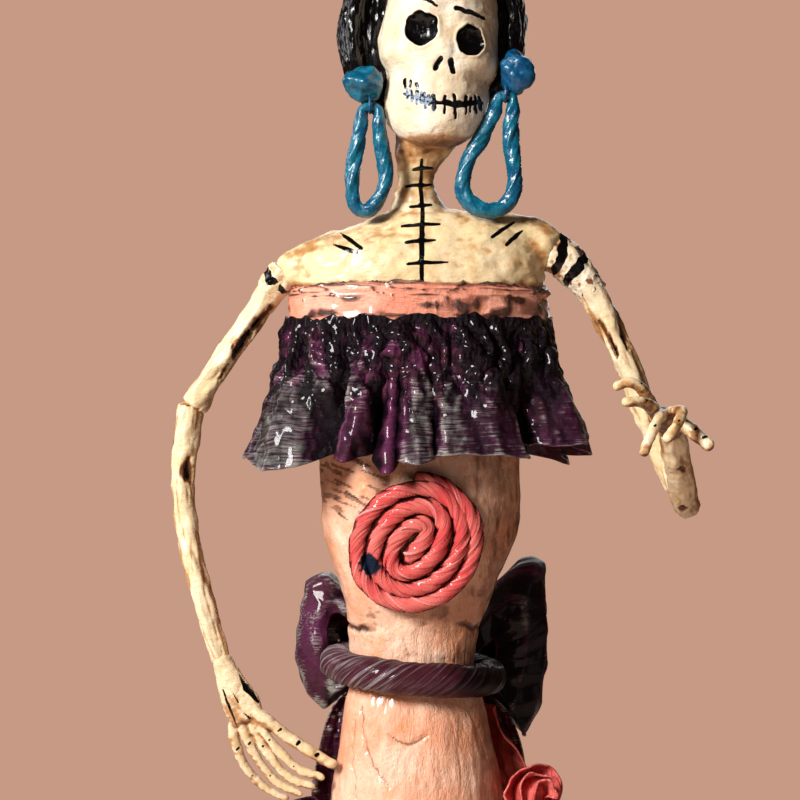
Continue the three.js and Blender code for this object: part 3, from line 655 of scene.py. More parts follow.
def folds(table, angle):
    """Values round a ring from rows [degrees, value, value...], more creased than curved."""
    table = np.array(table, float)
    turn = np.array([360.0] + [0.0] * (table.shape[1] - 1))
    table = np.vstack([table[-1] - turn, table, table[0] + turn])
    curve, _ = spline(table, 4000)
    curve = curve[np.argsort(curve[:, 0], kind="stable")]
    where = np.degrees(angle)

    def read(rows, k):
        return np.interp(where, rows[:, 0], rows[:, k])
    return [read(curve, k) * 0.4 + read(table, k) * 0.6 for k in range(1, table.shape[1])]


def show_bone(name, surface, nodes, ink, wash, amber, worn=0.0):
    """A piece of cream paper skin, with its ink, its brown antiquing and painted shade, and how amber it is
    all over.
    """
    flat = np.zeros(len(ink))
    show(f"{name}_paper", surface, bone, "bone_paper", nodes, ink=ink, wash=wash, worn=flat + worn,
         amber=flat + amber)


def crepe_marks(surface, rounds, gain, bias=0.0):
    """Marks for a crepe piece: painted shade in its hollows, silver on its ridges and a light crumple."""
    deep, fine = hollows(*surface, rounds), hollows(*surface, 3)
    ridge = (-(deep * 0.9 + fine * 3.0) + 0.05).clip(-2, 0.6)
    return dict(wash=deep * gain + fine * gain * 1.2 + bias, ridge=ridge, screwed=0.2 + 0 * deep)


# ---------------------------------------------------------------- the paints

bone = bone_paint()
teal = teal_paint("teal_paper", rgb(0, 70, 104), rgb(0, 102, 124), rgb(8, 130, 156))
# A darker, bluer copy of the teal for the left ear ball, which sits in shade: painted shade.
shaded_teal = teal_paint("deep_teal_paper", rgb(0, 62, 102), rgb(0, 86, 124), rgb(6, 114, 152))
hair_ink = hair_paint()
gown = gown_paint("gown_paper", rgb(252, 205, 176), rgb(236, 160, 122), rgb(122, 60, 28))
bodice_gown = gown_paint("bodice_paper", rgb(250, 206, 178), rgb(228, 158, 120), rgb(118, 58, 30),
                         (0.45, 0.45, 1.8))
salmon = gown_paint("salmon_paper", rgb(244, 172, 146), rgb(222, 130, 100), rgb(104, 40, 20),
                    (3.4, 3.4, 0.42))
coral = crepe_paint("coral_paper", rgb(216, 76, 76), rgb(228, 112, 104), rgb(80, 12, 16),
                    rgb(250, 184, 180), 0.8, 0.6)
red_drape = crepe_paint("red_drape", rgb(206, 72, 66), rgb(226, 108, 96), rgb(70, 14, 12),
                        rgb(246, 160, 150), 0.5)
plum = crepe_paint("plum_paper", rgb(76, 34, 50), rgb(94, 38, 74), rgb(7, 2, 7), rgb(178, 184, 174), 0.75)
plum_rope = crepe_paint("plum_rope", rgb(62, 18, 28), rgb(78, 32, 44), rgb(12, 4, 7),
                        rgb(180, 170, 176), 0.66, 0.3)
hem_plum = crepe_paint("hem_plum", rgb(66, 24, 44), rgb(104, 40, 72), rgb(12, 5, 9),
                       rgb(160, 150, 166), 0.6)
wire = plain_paint("iron_wire", rgb(62, 58, 54), rgb(110, 84, 62), 0.5, 0.35, 0.02, metal=0.85)
hook_teal = plain_paint("painted_wire", rgb(0, 84, 128), rgb(2, 36, 66), 0.6, 0.3, 0.04)
newsprint = plain_paint("newsprint", rgb(206, 198, 180), rgb(120, 114, 104), (0.9, 3.0, 0.6), 0.8, 0.05)
wood = plain_paint("base_wood", rgb(150, 104, 62), rgb(104, 66, 36), (9.0, 0.9, 0.9), 0.5, 0.08)
felt = plain_paint("base_felt", rgb(36, 42, 36), rgb(58, 66, 58), 0.35, 0.9, 0.12)

CAD_PAINTS = {
    "armature_rod": wire,
    "hem_hoop": wire,
    "ear_hook_left": hook_teal,
    "ear_hook_right": hook_teal,
    "arm_wire_left": wire,
    "arm_wire_right": wire,
    "newspaper_core": newsprint,
    "skirt_padding": newsprint,
    "base_board": wood,
    "foot_block": wood,
    "base_felt": felt}


# ---------------------------------------------------------------- head

SKULL = [
    [398.9, 2.6, 2.8, 4.6, -9.0], [400.0, 6.4, 5.4, 4.8, -8.8], [402.2, 10.0, 8.4, 4.8, -8.0],
    [405.4, 12.2, 11.0, 4.6, -6.8], [410, 13.4, 13.2, 4.7, -5.4], [415, 14.2, 14.6, 5.2, -4.2],
    [420, 15.0, 16.2, 6.1, -3.0], [427.6, 16.1, 18.0, 5.3, -1.6], [437, 15.0, 19.4, 6.3, -0.8],
    [446, 13.6, 18.4, 6.0, -0.8], [452, 9.6, 13.2, 6.0, -0.8], [455.0, 3.6, 5.4, 6.0, -0.8]]
EYES = [((0.75, 428.7), (4.25, 4.3)), ((13.4, 425.8), (3.4, 4.0))]
BUMPS = [
    ((6.6, 424.5), (2.4, 4.6), 0.9), ((5.6, 411.0), (9.0, 4.6), 0.9), ((4.2, 403.6), (5.5, 3.0), 0.8),
    ((-6.2, 423.4), (4.2, 2.9), 1.1), ((17.6, 420.8), (3.8, 2.9), 1.0), ((-6.4, 417.4), (3.6, 2.3), -0.9),
    ((17.4, 415.4), (3.2, 2.4), -0.8), ((0.6, 435.6), (6.0, 1.9), 0.7), ((13.4, 433.4), (5.2, 1.8), 0.7),
    ((7.0, 430.0), (1.6, 3.6), -0.5), ((6.6, 419.6), (2.6, 1.9), -0.7)]
TEETH = [
    (-3.8, 415.7, 413.5), (-2.3, 415.1, 413.6), (-0.6, 414.2, 413.4), (-3.2, 412.9, 410.6),
    (-1.9, 412.5, 410.0), (-0.4, 412.3, 409.2), (0.8, 411.9, 409.6), (1.7, 411.8, 408.0),
    (2.8, 411.2, 408.6), (3.9, 411.0, 407.3), (6.6, 411.0, 407.1), (9.1, 411.4, 405.6),
    (12.0, 411.3, 407.0), (13.3, 410.9, 407.6), (14.7, 411.4, 407.4), (15.9, 411.5, 408.4)]
FACE_STROKES = [
    ([(-5.4, 437.4), (-1.5, 436.5), (2.4, 435.7), (4.9, 434.3)], (0.3, 0.5, 0.5, 0.25)),
    ([(9.7, 433.7), (12.9, 433.2), (15.6, 432.4), (17.2, 431.6)], (0.75, 0.6, 0.5, 0.2)),
    ([(4.3, 418.5), (6.0, 420.8)], (0.85, 0.6)), ([(8.4, 420.2), (8.9, 417.4)], (0.8, 0.75)),
    ([(-4.0, 412.2), (2.8, 409.5), (9.2, 409.0), (16.6, 410.3)], (0.25, 0.6, 0.85, 0.5))]


def build_skull():
    surface = capped(loft(SKULL, 230, 330, 2.25, 0.45))
    v = surface[0]
    front = v[:, 1] < -5
    x, z = v[:, 0], v[:, 2]
    out = noise(v, 8, 3, 11) * 0.42 + noise(v, 2.4, 3, 12) * 0.14
    teeth = [([(a, b), (a + 0.15, c)], (0.5, 0.38)) for a, b, c in TEETH]
    ink = painted(v, FACE_STROKES + teeth, front, 0.3)
    for (cx, cz), (rx, rz), rise in BUMPS:
        out += rise * bell(np.hypot((x - cx) / rx, (z - cz) / rz), 1) * front
    for (cx, cz), (rx, rz) in EYES:
        r = np.hypot((x - cx) / rx, (z - cz) / rz) + noise(v, 2.2, 2, 13) * 0.08
        out -= 2.3 * np.clip(1 - r**2, 0, 1) ** 0.62 * front
        out += 0.35 * bell(r - 1.08, 0.14) * front
        ink = np.maximum(ink, np.where(front, (1.02 - r) * rx, NO_INK))
    out -= 0.18 * step(-0.2, 0.3, ink) * front
    surface = pushed(surface, out)
    deep = hollows(*surface, 14)
    # Antiquing and painted shade in the hollows; painted shade under the chin and on the right of the jaw;
    # darker at the top under the hair and towards the back.
    wash = deep * 1.1 + 1.0 * step(403, 399.6, z) + 0.5 * step(439, 446, z) + 0.45 * step(-4, 6, v[:, 1])
    wash += 0.4 * step(15, 20, x) * step(424, 412, z)
    worn = 1.4 * step(4.6, 2.6, np.abs(x + 0.2)) * step(413.9, 413.2, z) * front
    show_bone("skull", surface, ["skull"], ink, wash, 0.1, worn)


HAIR_AT, HAIR_R = np.array([3.7, 3.5, 430.2]), np.array([23.7, 22.6, 28.2])
HAIR_FRONT, FRINGE_Z, PART_X = -4.5, 446.0, 5.0
STRANDS = 46


def build_hair():
    rng = np.random.default_rng(5)
    v, faces = ball(HAIR_AT, HAIR_R - 1.6, 90, 120)
    low = (v[:, 2] < FRINGE_Z) & (v[:, 1] < HAIR_FRONT)
    v[low, 1] = HAIR_FRONT
    parts = [(v, faces)]
    for side in (-1, 1):
        for k in range(STRANDS):
            share = (k + rng.uniform(-0.3, 0.3)) / (STRANDS - 1)
            top, low = -15 + 37 * share, -6.0 + 29 * share
            reach = rng.uniform(2.2, 2.5) - 0.25 * share
            a = np.linspace(0.04, reach, 26)
            y = top + (low - top) * step(0.1, 1.25, a) + 0.7 * np.sin(a * rng.uniform(2, 4) + k)
            slim = np.sqrt(np.clip(1 - ((y - HAIR_AT[1]) / HAIR_R[1]) ** 2, 0.06, 1))
            x = HAIR_AT[0] + side * HAIR_R[0] * slim * np.sin(a) * (1 - 0.10 * step(1.9, 2.5, a))
            x += (PART_X - HAIR_AT[0]) * np.cos(a).clip(0)
            z = HAIR_AT[2] + HAIR_R[2] * slim * np.cos(a)
            thick = rng.uniform(1.25, 2.0)
            radii = [0.9, thick, thick * 1.1, thick, 0.7]
            parts.append(limb(np.stack([x, y, z], 1), radii, 60, 10, 1.0)[0])
    v, faces = melted(parts, 0.55)
    v = relaxed(v, faces, 1)
    lumps = noise(v, (2.4, 2.4, 4.4), 3, 31) * 0.55 + facets(v, 1.7, 32, (1, 1, 0.6)) * 0.22
    v, faces = pushed((v, faces), lumps)
    fibre = np.stack([v[:, 1], v[:, 0] * 0.2, v[:, 2]], 1)
    show("hair_paper", (v, faces), hair_ink, "hair_paper", ["hair"], fibre=fibre)


# ---------------------------------------------------------------- neck and chest

NECK = [
    [0.4, -0.4, 378], [-0.4, -0.2, 385], [-0.6, 0, 391], [-0.2, -0.6, 396.5], [1.8, -1.6, 402.4],
    [3.4, -2.6, 408]]
NECK_R = [9.6, 6.2, 4.5, 5.0, 8.2, 11.0]
CHEST = [
    [350.4, 31, 14.8, 0.2], [358, 32.6, 16.2, 0.2], [365, 33.6, 16.4, 0.3], [370.5, 33, 15.6, 0.8],
    [375, 29, 13.6, 2], [378.8, 22, 11, 3.4], [381.8, 13, 8.4, 3.4], [383.6, 5, 5, 2]]
SHOULDERS = [
    ([[-14, 0, 371.5], [-24, 0, 370], [-31.5, -0.2, 367.6], [-36.5, -0.5, 364]], [9, 7.6, 6.4, 4.4]),
    ([[12, 0, 373.5], [22, 0, 374.8], [30, -0.2, 374.8], [37.5, -0.5, 371.0]], [8.4, 8.0, 7.8, 5.2])]
SPINE = [((0.9, 396.2), (0.6, 389), (1.1, 381), (0.7, 372), (0.9, 362.8))]
SPINE_TICKS = [
    (393.8, -1.4, 3.9), (389.4, -3.2, 3.5), (383.6, -2.3, 3.5), (378.2, -4.3, 5.6), (373.7, -3.4, 4.4),
    (367.8, -2.9, 7.6)]
COLLAR = [
    ((-20.6, 376.4), (-18.9, 375.0), (-15.0, 371.8)), ((-22.6, 373.2), (-19.4, 371.9), (-16.2, 370.7)),
    ((25.6, 379.4), (22.6, 377.4), (19.4, 375.0)), ((27.8, 377.3), (26.0, 375.6), (23.2, 372.9))]


def build_chest():
    parts = [capped(loft(CHEST, 60, 120, 2.2)), limb(NECK, NECK_R, 70, 48, 2)[0]]
    parts += [limb(path, radii, 50, 40, 3)[0] for path, radii in SHOULDERS]
    v, faces = melted(parts, 0.6)
    v = relaxed(v, faces, 14, 0.6)
    lumps = noise(v, 9, 3, 14) * 0.6 + noise(v, (3.4, 3.4, 2.2), 3, 15) * 0.28 + 0.25
    v, faces = pushed((v, faces), lumps)
    strokes = [(line, (0.4, 0.6, 0.6, 0.75, 0.55)) for line in SPINE]
    strokes += [([(a, z - 0.3), (0.8, z + 0.1), (b, z + 0.3)], (0.42, 0.6, 0.3)) for z, a, b in SPINE_TICKS]
    strokes += [(line, (0.25, 0.62, 0.5)) for line in COLLAR]
    ink = painted(v, strokes, v[:, 1] < 0)
    deep = hollows(v, faces, 16)
    neck = step(381, 388, v[:, 2])
    # Antiquing and painted shade in the hollows; the neck darker, as brown antiquing and as painted shade
    # under the head, with brown streaks; painted shade under the jaw, where the chest meets the band and at
    # the outer sides; the tops of the shoulders browner; brown mottling.
    wash = deep * 1.5 + 0.5 * neck + 0.9 * step(364.2, 362.0, v[:, 2]) + 0.45 * step(397, 403, v[:, 2])
    wash += 0.4 * neck * noise(v, (1.8, 1.8, 7), 3, 78)
    wash += 0.4 * step(0.2, 0.9, normals_of(v, faces)[:, 2]) * (1 - neck)
    wash += 0.30 * step(24, 33, np.abs(v[:, 0] - 0.8)) + 0.25 * noise(v, (9, 9, 3), 3, 77)
    show_bone("chest", (v, faces), ["chest", "neck"], ink, wash, 0.85)


# ---------------------------------------------------------------- arms and hands

UPPER = {
    "right": [[-35.5, -0.6, 366.4], [-38, -0.6, 363.6], [-46, -0.4, 352], [-55, 0.4, 339], [-61, 1, 330]],
    "left": [
        [38.6, -0.6, 369.4], [41.6, -0.6, 366.8], [47, -1, 360.4], [54, -1.6, 346.4], [62, -2.4, 327],
        [70, -3.4, 308]]}
FORE = {
    "right": [
        [-61.4, 1, 331.4], [-61.6, 1, 328.9], [-63.4, 0.4, 312], [-61.6, -1.4, 294], [-57.8, -3.4, 278],
        [-52.4, -5, 262.0]],
    "left": [
        [72.6, -2.6, 303.6], [71, -7, 304.8], [68.8, -18, 309.6], [65.2, -32, 317.6], [62, -44, 324.6]]}
# Places where the paper fell in between the twists, with their reach: dark brown inside, as antiquing and
# painted shade, black at the deepest.
HOLLOWS = {
    "upper_arm_right": [
        ([(-39.8, -2.2, 356.6), (-43.4, -2.6, 352.0)], (0.6, 1.3)),
        ([(-45.2, -2.8, 349.6), (-47.6, -2.6, 345.8), (-49.2, -2.2, 343.6)], (0.9, 1.7, 0.7)),
        ([(-50.6, -2.4, 341.0), (-52.6, -2.0, 337.6)], (0.2, 0.5))],
    "forearm_right": [
        ([(-61.6, -2.8, 316.0), (-61.4, -2.6, 312.8), (-60.0, -2.2, 310.4)], (0.6, 1.9, 0.9)),
        ([(-60.2, -2.6, 309.6), (-58.6, -2.4, 303.4)], (0.35, 0.6)),
        ([(-60.6, -3.4, 330.0), (-60.0, -3.2, 320.0)], (0.1, 0.35))],
    "upper_arm_left": [
        ([(55.0, -4.0, 353.4), (55.8, -4.2, 349.8), (56.8, -4.2, 346.6)], (0.4, 1.3, 0.3)),
        ([(49.0, -3.4, 352.6), (50.8, -3.8, 348.6), (52.8, -4.0, 344.2)], (0.3, 0.55, 0.5)),
        ([(62.2, -5.4, 328.4), (63.4, -5.6, 325.2)], (0.2, 0.4)),
        ([(66.6, -6.6, 316.4), (67.6, -6.8, 313.0), (68.0, -6.8, 311.6)], (0.5, 1.2, 0.5))],
    "forearm_left": [
        ([(70.2, -12, 302.6), (69.4, -14, 303.4)], (0.5, 0.7)),
        ([(65.6, -34, 314.4), (68.4, -32, 313.2)], (0.2, 0.7)),
        ([(67.2, -26, 308.2), (66.8, -30, 310.4)], (0.1, 0.4))]}
UPPER_R = {"right": [3.7, 3.6, 3.2, 3.2, 3.7], "left": [4.0, 3.6, 3.3, 3.3, 3.2, 3.6]}
FORE_R = {"right": [3.3, 3.2, 3.0, 3.0, 2.8, 2.5], "left": [3.3, 3.7, 3.4, 3.5, 3.0]}
FACING = {"right": [0, -1, 0], "left": [0.1, 0.35, 1]}
PALM = {
    "right": [
        [-53.0, -5.0, 264.4], [-52.3, -5.2, 262.1], [-49.6, -6, 256], [-46.6, -6.8, 249.6],
        [-45, -7, 246.2]],
    "left": [[62.4, -42.6, 324], [61.9, -44.5, 324.9], [60.4, -49.2, 327], [58.6, -54, 328.8]]}
PALM_ACROSS = {"right": [2.5, 2.9, 4.2, 5, 4.2], "left": [2.9, 3.1, 4.2, 4.2]}
PALM_THROUGH = {"right": [2.5, 2.6, 2.4, 2.2, 1.8], "left": [2.6, 2.7, 2.6, 2.2]}
FINGERS = {
    "right": {
        "thumb": [
            [-46, -7.0, 251.0], [-43, -7.6, 248.6], [-39.5, -8.2, 246.2], [-34.6, -8.8, 242.7],
            [-29.2, -9.4, 239.2], [-21.8, -10.2, 235.2]],
        "index": [
            [-45.4, -6.8, 250.4], [-43.8, -7, 247.4], [-41.6, -7.2, 244.4], [-37.4, -7.4, 239],
            [-31.8, -7.6, 233.8], [-24.8, -8.4, 231.6]],
        "middle": [
            [-46.0, -6.6, 250.4], [-45, -6.6, 247.4], [-43.6, -6.4, 243.6], [-39.4, -6.2, 236.8],
            [-34.2, -6.4, 231.2], [-27.4, -7.2, 228.9]],
        "ring": [
            [-47.0, -6.4, 250.6], [-46.6, -6.4, 247.6], [-46.2, -6, 243], [-42.4, -5.4, 235.2],
            [-37.1, -5.2, 229.4], [-30.6, -5.8, 226.6]],
        "little": [
            [-48.4, -6.3, 251.2], [-48.6, -6.2, 248.4], [-49.4, -5.6, 243], [-46.8, -4.8, 235],
            [-41.8, -4.2, 228.8], [-34.8, -4.2, 225]]},
    "left": {
        "thumb": [
            [61.0, -48.6, 326.8], [61.4, -51, 327], [64.4, -54, 325.4], [67, -57, 323], [69.6, -60, 320.6]],
        "index": [
            [60.2, -50.4, 328], [60.4, -53, 328.6], [62.2, -59, 329.2], [60.6, -63.4, 326],
            [57.4, -65, 322]],
        "middle": [
            [59.2, -50.2, 328], [58.6, -52.6, 328.4], [57, -59.6, 327.6], [54.4, -62.6, 323.6],
            [52.4, -62.8, 318.6]],
        "ring": [
            [58.4, -50.0, 328.2], [57, -52.6, 329.2], [54.4, -59.4, 330.8], [51.2, -62, 331.6],
            [47.6, -62.4, 331.4]],
        "little": [
            [58.0, -49.4, 328], [56.8, -51.6, 329.8], [53.6, -56.6, 333.8], [50.2, -58.6, 336.2],
            [46, -58.4, 335]]}}
THUMB_R = {"right": [1.8, 1.8, 1.6, 1.5, 1.45, 1.2], "left": [1.8, 1.8, 1.6, 1.5, 1.3]}
FINGER_R = {"right": [1.45, 1.35, 1.2, 1.15, 1.1, 0.9], "left": [1.5, 1.5, 1.35, 1.3, 1.1]}
HAND_STROKES = {
    "right": [
        ([(-47.6, 259.2), (-45.6, 255.4), (-42.6, 251.8)], (0.35, 0.95, 0.35)),
        ([(-52.0, 255.0), (-50.2, 250.4), (-48.3, 245.6)], (0.2, 0.42, 0.2)),
        ([(-49.9, 255.4), (-47.8, 251.8)], (0.12, 0.26)), ([(-46.4, 249.0), (-44.8, 247.6)], (0.15, 0.36))],
    "left": []}


BINDINGS = {
    "right": (
        [[-35.6, -0.6, 367.0], [-38.6, -0.5, 363.4], [-41.0, -0.5, 360.0]], [4.3, 4.2, 3.7],
        [([(-41.2, 367.4), (-39.2, 363.6), (-35.4, 360.8)], (0.8, 1.3, 0.9))], 150),
    "left": (
        [
            [33.5, -0.4, 373.8], [37, -0.4, 371.5], [41.5, -0.6, 367.9], [45.6, -1, 363.2],
            [47.4, -1.1, 360.6]],
        [4.8, 5.5, 5.1, 4.3, 3.7],
        [
            ([(39.3, 376.4), (38.3, 371), (36.6, 366.6)], (1.0, 1.5, 1.1)),
            ([(46.0, 372.6), (43.2, 368), (39.6, 363.6)], (1.0, 1.35, 1.1))],
        160)}


def build_limb(name, path, radii, seed):
    """A roll of twisted paper: long flat facets, hollows browned dark as antiquing and painted shade, amber
    in every crease, painted shade down its sides.
    """
    surface, skin = limb(path, radii, 230, 56, 1.3)
    v = surface[0]
    out = facets(skin, 2.4, seed, (1, 1, 0.10)) * 0.42 + noise(skin, (2.4, 2.4, 15), 3, seed + 1) * 0.34
    out += noise(skin, (1.2, 1.2, 4), 3, seed + 2) * 0.12
    sunk, ragged = np.zeros(len(v)), noise(v, (1.6, 1.6, 3.2), 3, seed + 5)
    for line, half in HOLLOWS[name]:
        sunk = np.maximum(sunk, step(-1.2, 0.5, brush(v, line, half) + 0.7 * ragged))
    surface = pushed(surface, out - 0.9 * sunk)
    deep = hollows(*surface, 9)
    s, length = skin[:, 2], skin[:, 2].max()
    ends = step(2.2, 0.3, s) + step(length - 1.6, length - 0.2, s)
    streak = noise(skin, (1.3, 1.3, 11), 3, seed + 3)
    wash = deep * 1.8 + 0.12 + 0.6 * streak * step(-0.5, 0.6, noise(skin, (3, 3, 12), 2, seed + 4))
    # Painted shade down the side facing +X, away from the light, and a lighter brown edge on the other side.
    sideways = normals_of(*surface)[:, 0]
    wash += 0.42 * step(0.2, 0.95, sideways + 0.4 * streak)
    wash += 0.22 * step(0.5, 0.95, 0.4 * streak - sideways)
    # Dark brown in the sunk hollows, as antiquing and painted shade; the ends darker at the joins.
    wash += 1.1 * step(0.4, 0.95, sunk) + 0.5 * step(0.02, 0.4, sunk) + 0.7 * ends
    # Black at the bottom of the sunk and the deepest hollows: painted shade.
    ink = np.maximum(*(np.where(x > edge, x - edge, NO_INK) for x, edge in ((sunk, 0.93), (deep, 0.5))))
    show_bone(name, surface, [name], ink, wash, 0.72)


def build_arm(side, seed):
    build_limb(f"upper_arm_{side}", UPPER[side], UPPER_R[side], seed)
    build_limb(f"forearm_{side}", FORE[side], FORE_R[side], seed + 4)


def build_hand(side, seed):
    fingers = {name: limb(path, (THUMB_R if name == "thumb" else FINGER_R)[side], 70, 20, 1.2)[0]
               for name, path in FINGERS[side].items()}
    palm = limb(PALM[side], PALM_ACROSS[side], 60, 32, 2, FACING[side], PALM_THROUGH[side])[0]
    v, faces = melted([palm, *fingers.values()], 0.36)
    v = relaxed(v, faces, 4)
    lumps = noise(v, 3.4, 3, seed) * 0.26 + noise(v, 1.2, 3, seed + 1) * 0.10 + 0.1
    v, faces = pushed((v, faces), lumps)
    toward = unit(np.array(FACING[side] if side == "right" else [0, -1, 0.5], float)) * 1.3
    dots = []
    for name, path in FINGERS[side].items():
        line, _ = spline(path, 40)
        for k in (15, 23, 31) if name == "thumb" else (13 + len(name) % 4, 25 + len(name) % 3):
            spot = line[k] + toward
            dots.append(([spot, spot + [0.5, 0, 0.4]], 0.52 if name == "thumb" else 0.34))
    ink = np.maximum(painted(v, HAND_STROKES[side], v[:, 1] < -7.0), painted(v, dots))
    deep = hollows(v, faces, 10)
    under = normals_of(v, faces)[:, 2]
    # Painted shade between the fingers and on the undersides, over brown mottling; the left hand is darker
    # all over, in patches.
    wash = deep * 2.8 + 0.2 + 0.45 * noise(v, (3, 3, 6), 3, seed + 2) + 0.75 * step(0.0, -0.8, under)
    if side == "left":
        wash += 0.5 * step(0.0, 0.6, noise(v, 3.2, 2, seed + 3)) + 0.22
    nodes = [f"palm_{side}", *(f"{name}_{side}" for name in FINGERS[side])]
    show_bone(f"hand_{side}", (v, faces), nodes, ink, wash, 0.75)


def build_binding(side, path, radii, bands, seed):
    """Crumpled paper wound round a shoulder, with black bands."""
    surface, skin = limb(path, radii, 110, 64, 0.7)
    v, s = surface[0], skin[:, 2]
    surface = pushed(surface, facets(v, 2.4, seed) * 0.45 + ridges(v, 2.4, seed + 1) * 0.26 - 0.1)
    ink = painted(v, bands, None, 0.45)
    # Painted shade in the hollows of the crumples; also darker at both ends, and on the left binding in
    # patches.
    wash = hollows(*surface, 10) * 2.6 + 0.3 + 0.6 * step(0.6, 0.0, np.minimum(s, s.max() - s))
    if side == "left":
        wash += 0.9 * step(0.25, 0.6, noise(v, (1.7, 1.7, 1.7), 2, seed + 3))
    name = f"shoulder_binding_{side}"
    show_bone(name, surface, [name], ink, wash, 0.35)


# ---------------------------------------------------------------- earrings

LOOPS = {
    "right": [
        [0, 0], [-1.9, -0.7], [-2.3, -4.4], [-3.6, -11], [-4.7, -19], [-4.1, -25.4], [-1, -27.2],
        [2.2, -24.4], [4.1, -19], [3.4, -12], [2.3, -4.6], [1.9, -0.7]],
    "left": [
        [0, 0], [-1.9, -0.7], [-3.4, -5.4], [-5.8, -9.8], [-8.4, -14.4], [-10.6, -19], [-11.4, -23.4],
        [-10.2, -27], [-6.8, -29.8], [-2.2, -30], [1.4, -27], [2.5, -22], [1.9, -16], [1.4, -10],
        [1.9, -4.6], [1.9, -0.7]]}
PIVOTS = {"right": [-12.8, -10.6, 409.4], "left": [23.0, -10.2, 412.4]}
BALLS = {"right": ([-14.1, -10.6, 415.7], [4.7, 4.3, 4.8]), "left": ([25.7, -10.2, 418.8], [4.2, 4.2, 5.8])}
LOOP_THICK, LOOP_TOP = 2.05, 1.45


def build_earring(side, seed):
    at, radii = BALLS[side]
    surface = ball(at, radii, 70, 90)
    v = surface[0]
    knob = [-radii[0] if side == "right" else radii[0], -1.5, -1.2]
    out = facets(v, 2.9, seed) * 0.75 + facets(v, 1.5, seed + 1) * 0.14
    out += 1.3 * bell(np.linalg.norm(v - at - knob, axis=1), 2.6)
    surface = pushed(surface, out)
    # The left ball takes the shaded copy of the teal: painted shade.
    paint = teal if side == "right" else shaded_teal
    # Painted shade: deep blue in the ball's hollows.
    show(f"ear_ball_{side}_paper", surface, paint, "teal_paper", [f"ear_ball_{side}"],
         wash=hollows(*surface, 10) * 1.8)
    pivot = np.array(PIVOTS[side])
    path = [[pivot[0] + dx, pivot[1], pivot[2] + dz] for dx, dz in LOOPS[side]]
    n = 420
    centres, _ = spline(path, n, True)
    thick = LOOP_TOP + (LOOP_THICK - LOOP_TOP) * step(0, 4.5, pivot[2] - centres[:, 2])
    surface, _, cut = rope(centres, thick, n, 32, strands=2, groove=0.10, slant=0.42, seed=seed)
    v = surface[0]
    surface = pushed(surface, noise(v, 4.2, 3, seed + 2) * 0.26 + facets(v, 2.2, seed + 3) * 0.08)
    # Painted shade in the loop's hollows and in the grooves of its twist.
    wash = hollows(*surface, 8) * 1.9 + cut * 0.35 - 0.05
    show(f"ear_loop_{side}_paper", surface, teal, "teal_paper", [f"ear_loop_{side}"], f"earring_{side}",
         wash=wash)


# ---------------------------------------------------------------- bodice, band, bust ruffle

BODICE = [
    [258, 16.3, 14, -1.2], [264, 17.1, 14.8, -1.2], [273, 18.1, 15.6, -0.8], [281, 20.5, 17, -0.2],
    [289, 23.6, 18.6, 0.4], [297, 25.9, 19.6, 0.5], [306, 26.9, 19.8, 0.6], [318, 27, 19.2, 0.6],
    [334, 28, 18, 0.4], [349.9, 29.3, 15.8, 0.2]]
HAIRLINES = [
    (-25, 323, -20, 321), (-24, 319, -18, 317.6), (-23, 315, -17, 313), (-22, 311, -17.6, 309),
    (-22.4, 306, -19, 304.6), (-21, 302, -18.4, 300.4), (-20, 318, -15, 316), (-19, 308, -15.6, 306)]


def build_bodice():
    surface = capped(loft(BODICE, 240, 300, 2.15))
    v = surface[0]
    x, y, z = v.T
    front = y < 0
    pleat = (1 - creases(v, (2.6, 2.6, 26), 18)) ** 9 * step(278, 264, z)
    crack = bell(z - 271.5 - 1.6 * noise(v, 6, 2, 19), 0.8) * step(9, 15, np.abs(x + 0.8))
    out = noise(v, 9, 3, 16) * 0.55 + noise(v, (1.6, 1.6, 3.6), 3, 17) * 0.13
    surface = pushed(surface, out - 0.3 * pleat - 0.7 * crack)
    # Antiquing and painted shade in the hollows and pleats; painted shade under the bust ruffle and down the
    # right side, with dark streaks there; a little darker just above the belt. The crack, the mottling, the
    # patches by the waist, the hairlines and the dashes are marks on the paper.
    wash = hollows(*surface, 14) * 1.4 + 0.75 * crack + 0.55 * step(317, 323, z) + 0.5 * step(8, 22, x)
    wash += 0.2 * step(268, 262, z) + 0.55 * step(0.1, 0.9, noise(v, (1.2, 4, 7), 3, 88)) * step(9, 18, x)
    wash += 0.3 * pleat + 0.2 * noise(v, (5, 5, 8), 3, 86)
    wash += 0.55 * step(0.0, 0.6, noise(v, (5, 5, 2.4), 3, 89)) * bell(z - 275, 6) * front
    for x0, z0, x1, z1 in HAIRLINES:
        wash += step(-0.25, 0.1, brush(v[:, [0, 2]], [(x0, z0), (x1, z1)], (0.26, 0.1))) * front
    slant = np.stack([x / 3.6, (z + 0.34 * x) / 0.85, y / 4], 1)
    wash += 0.9 * step(0.46, 0.62, noise(slant, 1, 1, 87)) * step(298, 306, z) * step(-4, -12, x) * front
    show("bodice_paper", surface, bodice_gown, "gown_paper", ["bodice"], wash=wash)


def ring_band(half_w, half_d, low, high, thick, n_round, n_section):
    """A band of paper closed round the body: a grid (section, round) closed both ways."""
    angle = np.linspace(0, TAU, n_round, endpoint=False)
    psi = np.linspace(0, TAU, n_section, endpoint=False)
    up = np.sign(np.sin(psi)) * np.abs(np.sin(psi)) ** 0.5
    out = -np.sign(np.cos(psi)) * np.abs(np.cos(psi)) ** 0.7
    r = thick / 2 * out[:, None]
    x = (half_w - thick / 2 + r) * np.sin(angle)[None]
    y = -(half_d - thick / 2 + r) * np.cos(angle)[None]
    z = np.broadcast_to(((low + high) / 2 + (high - low) / 2 * up)[:, None], x.shape)
    return np.stack([x, y, z], -1)


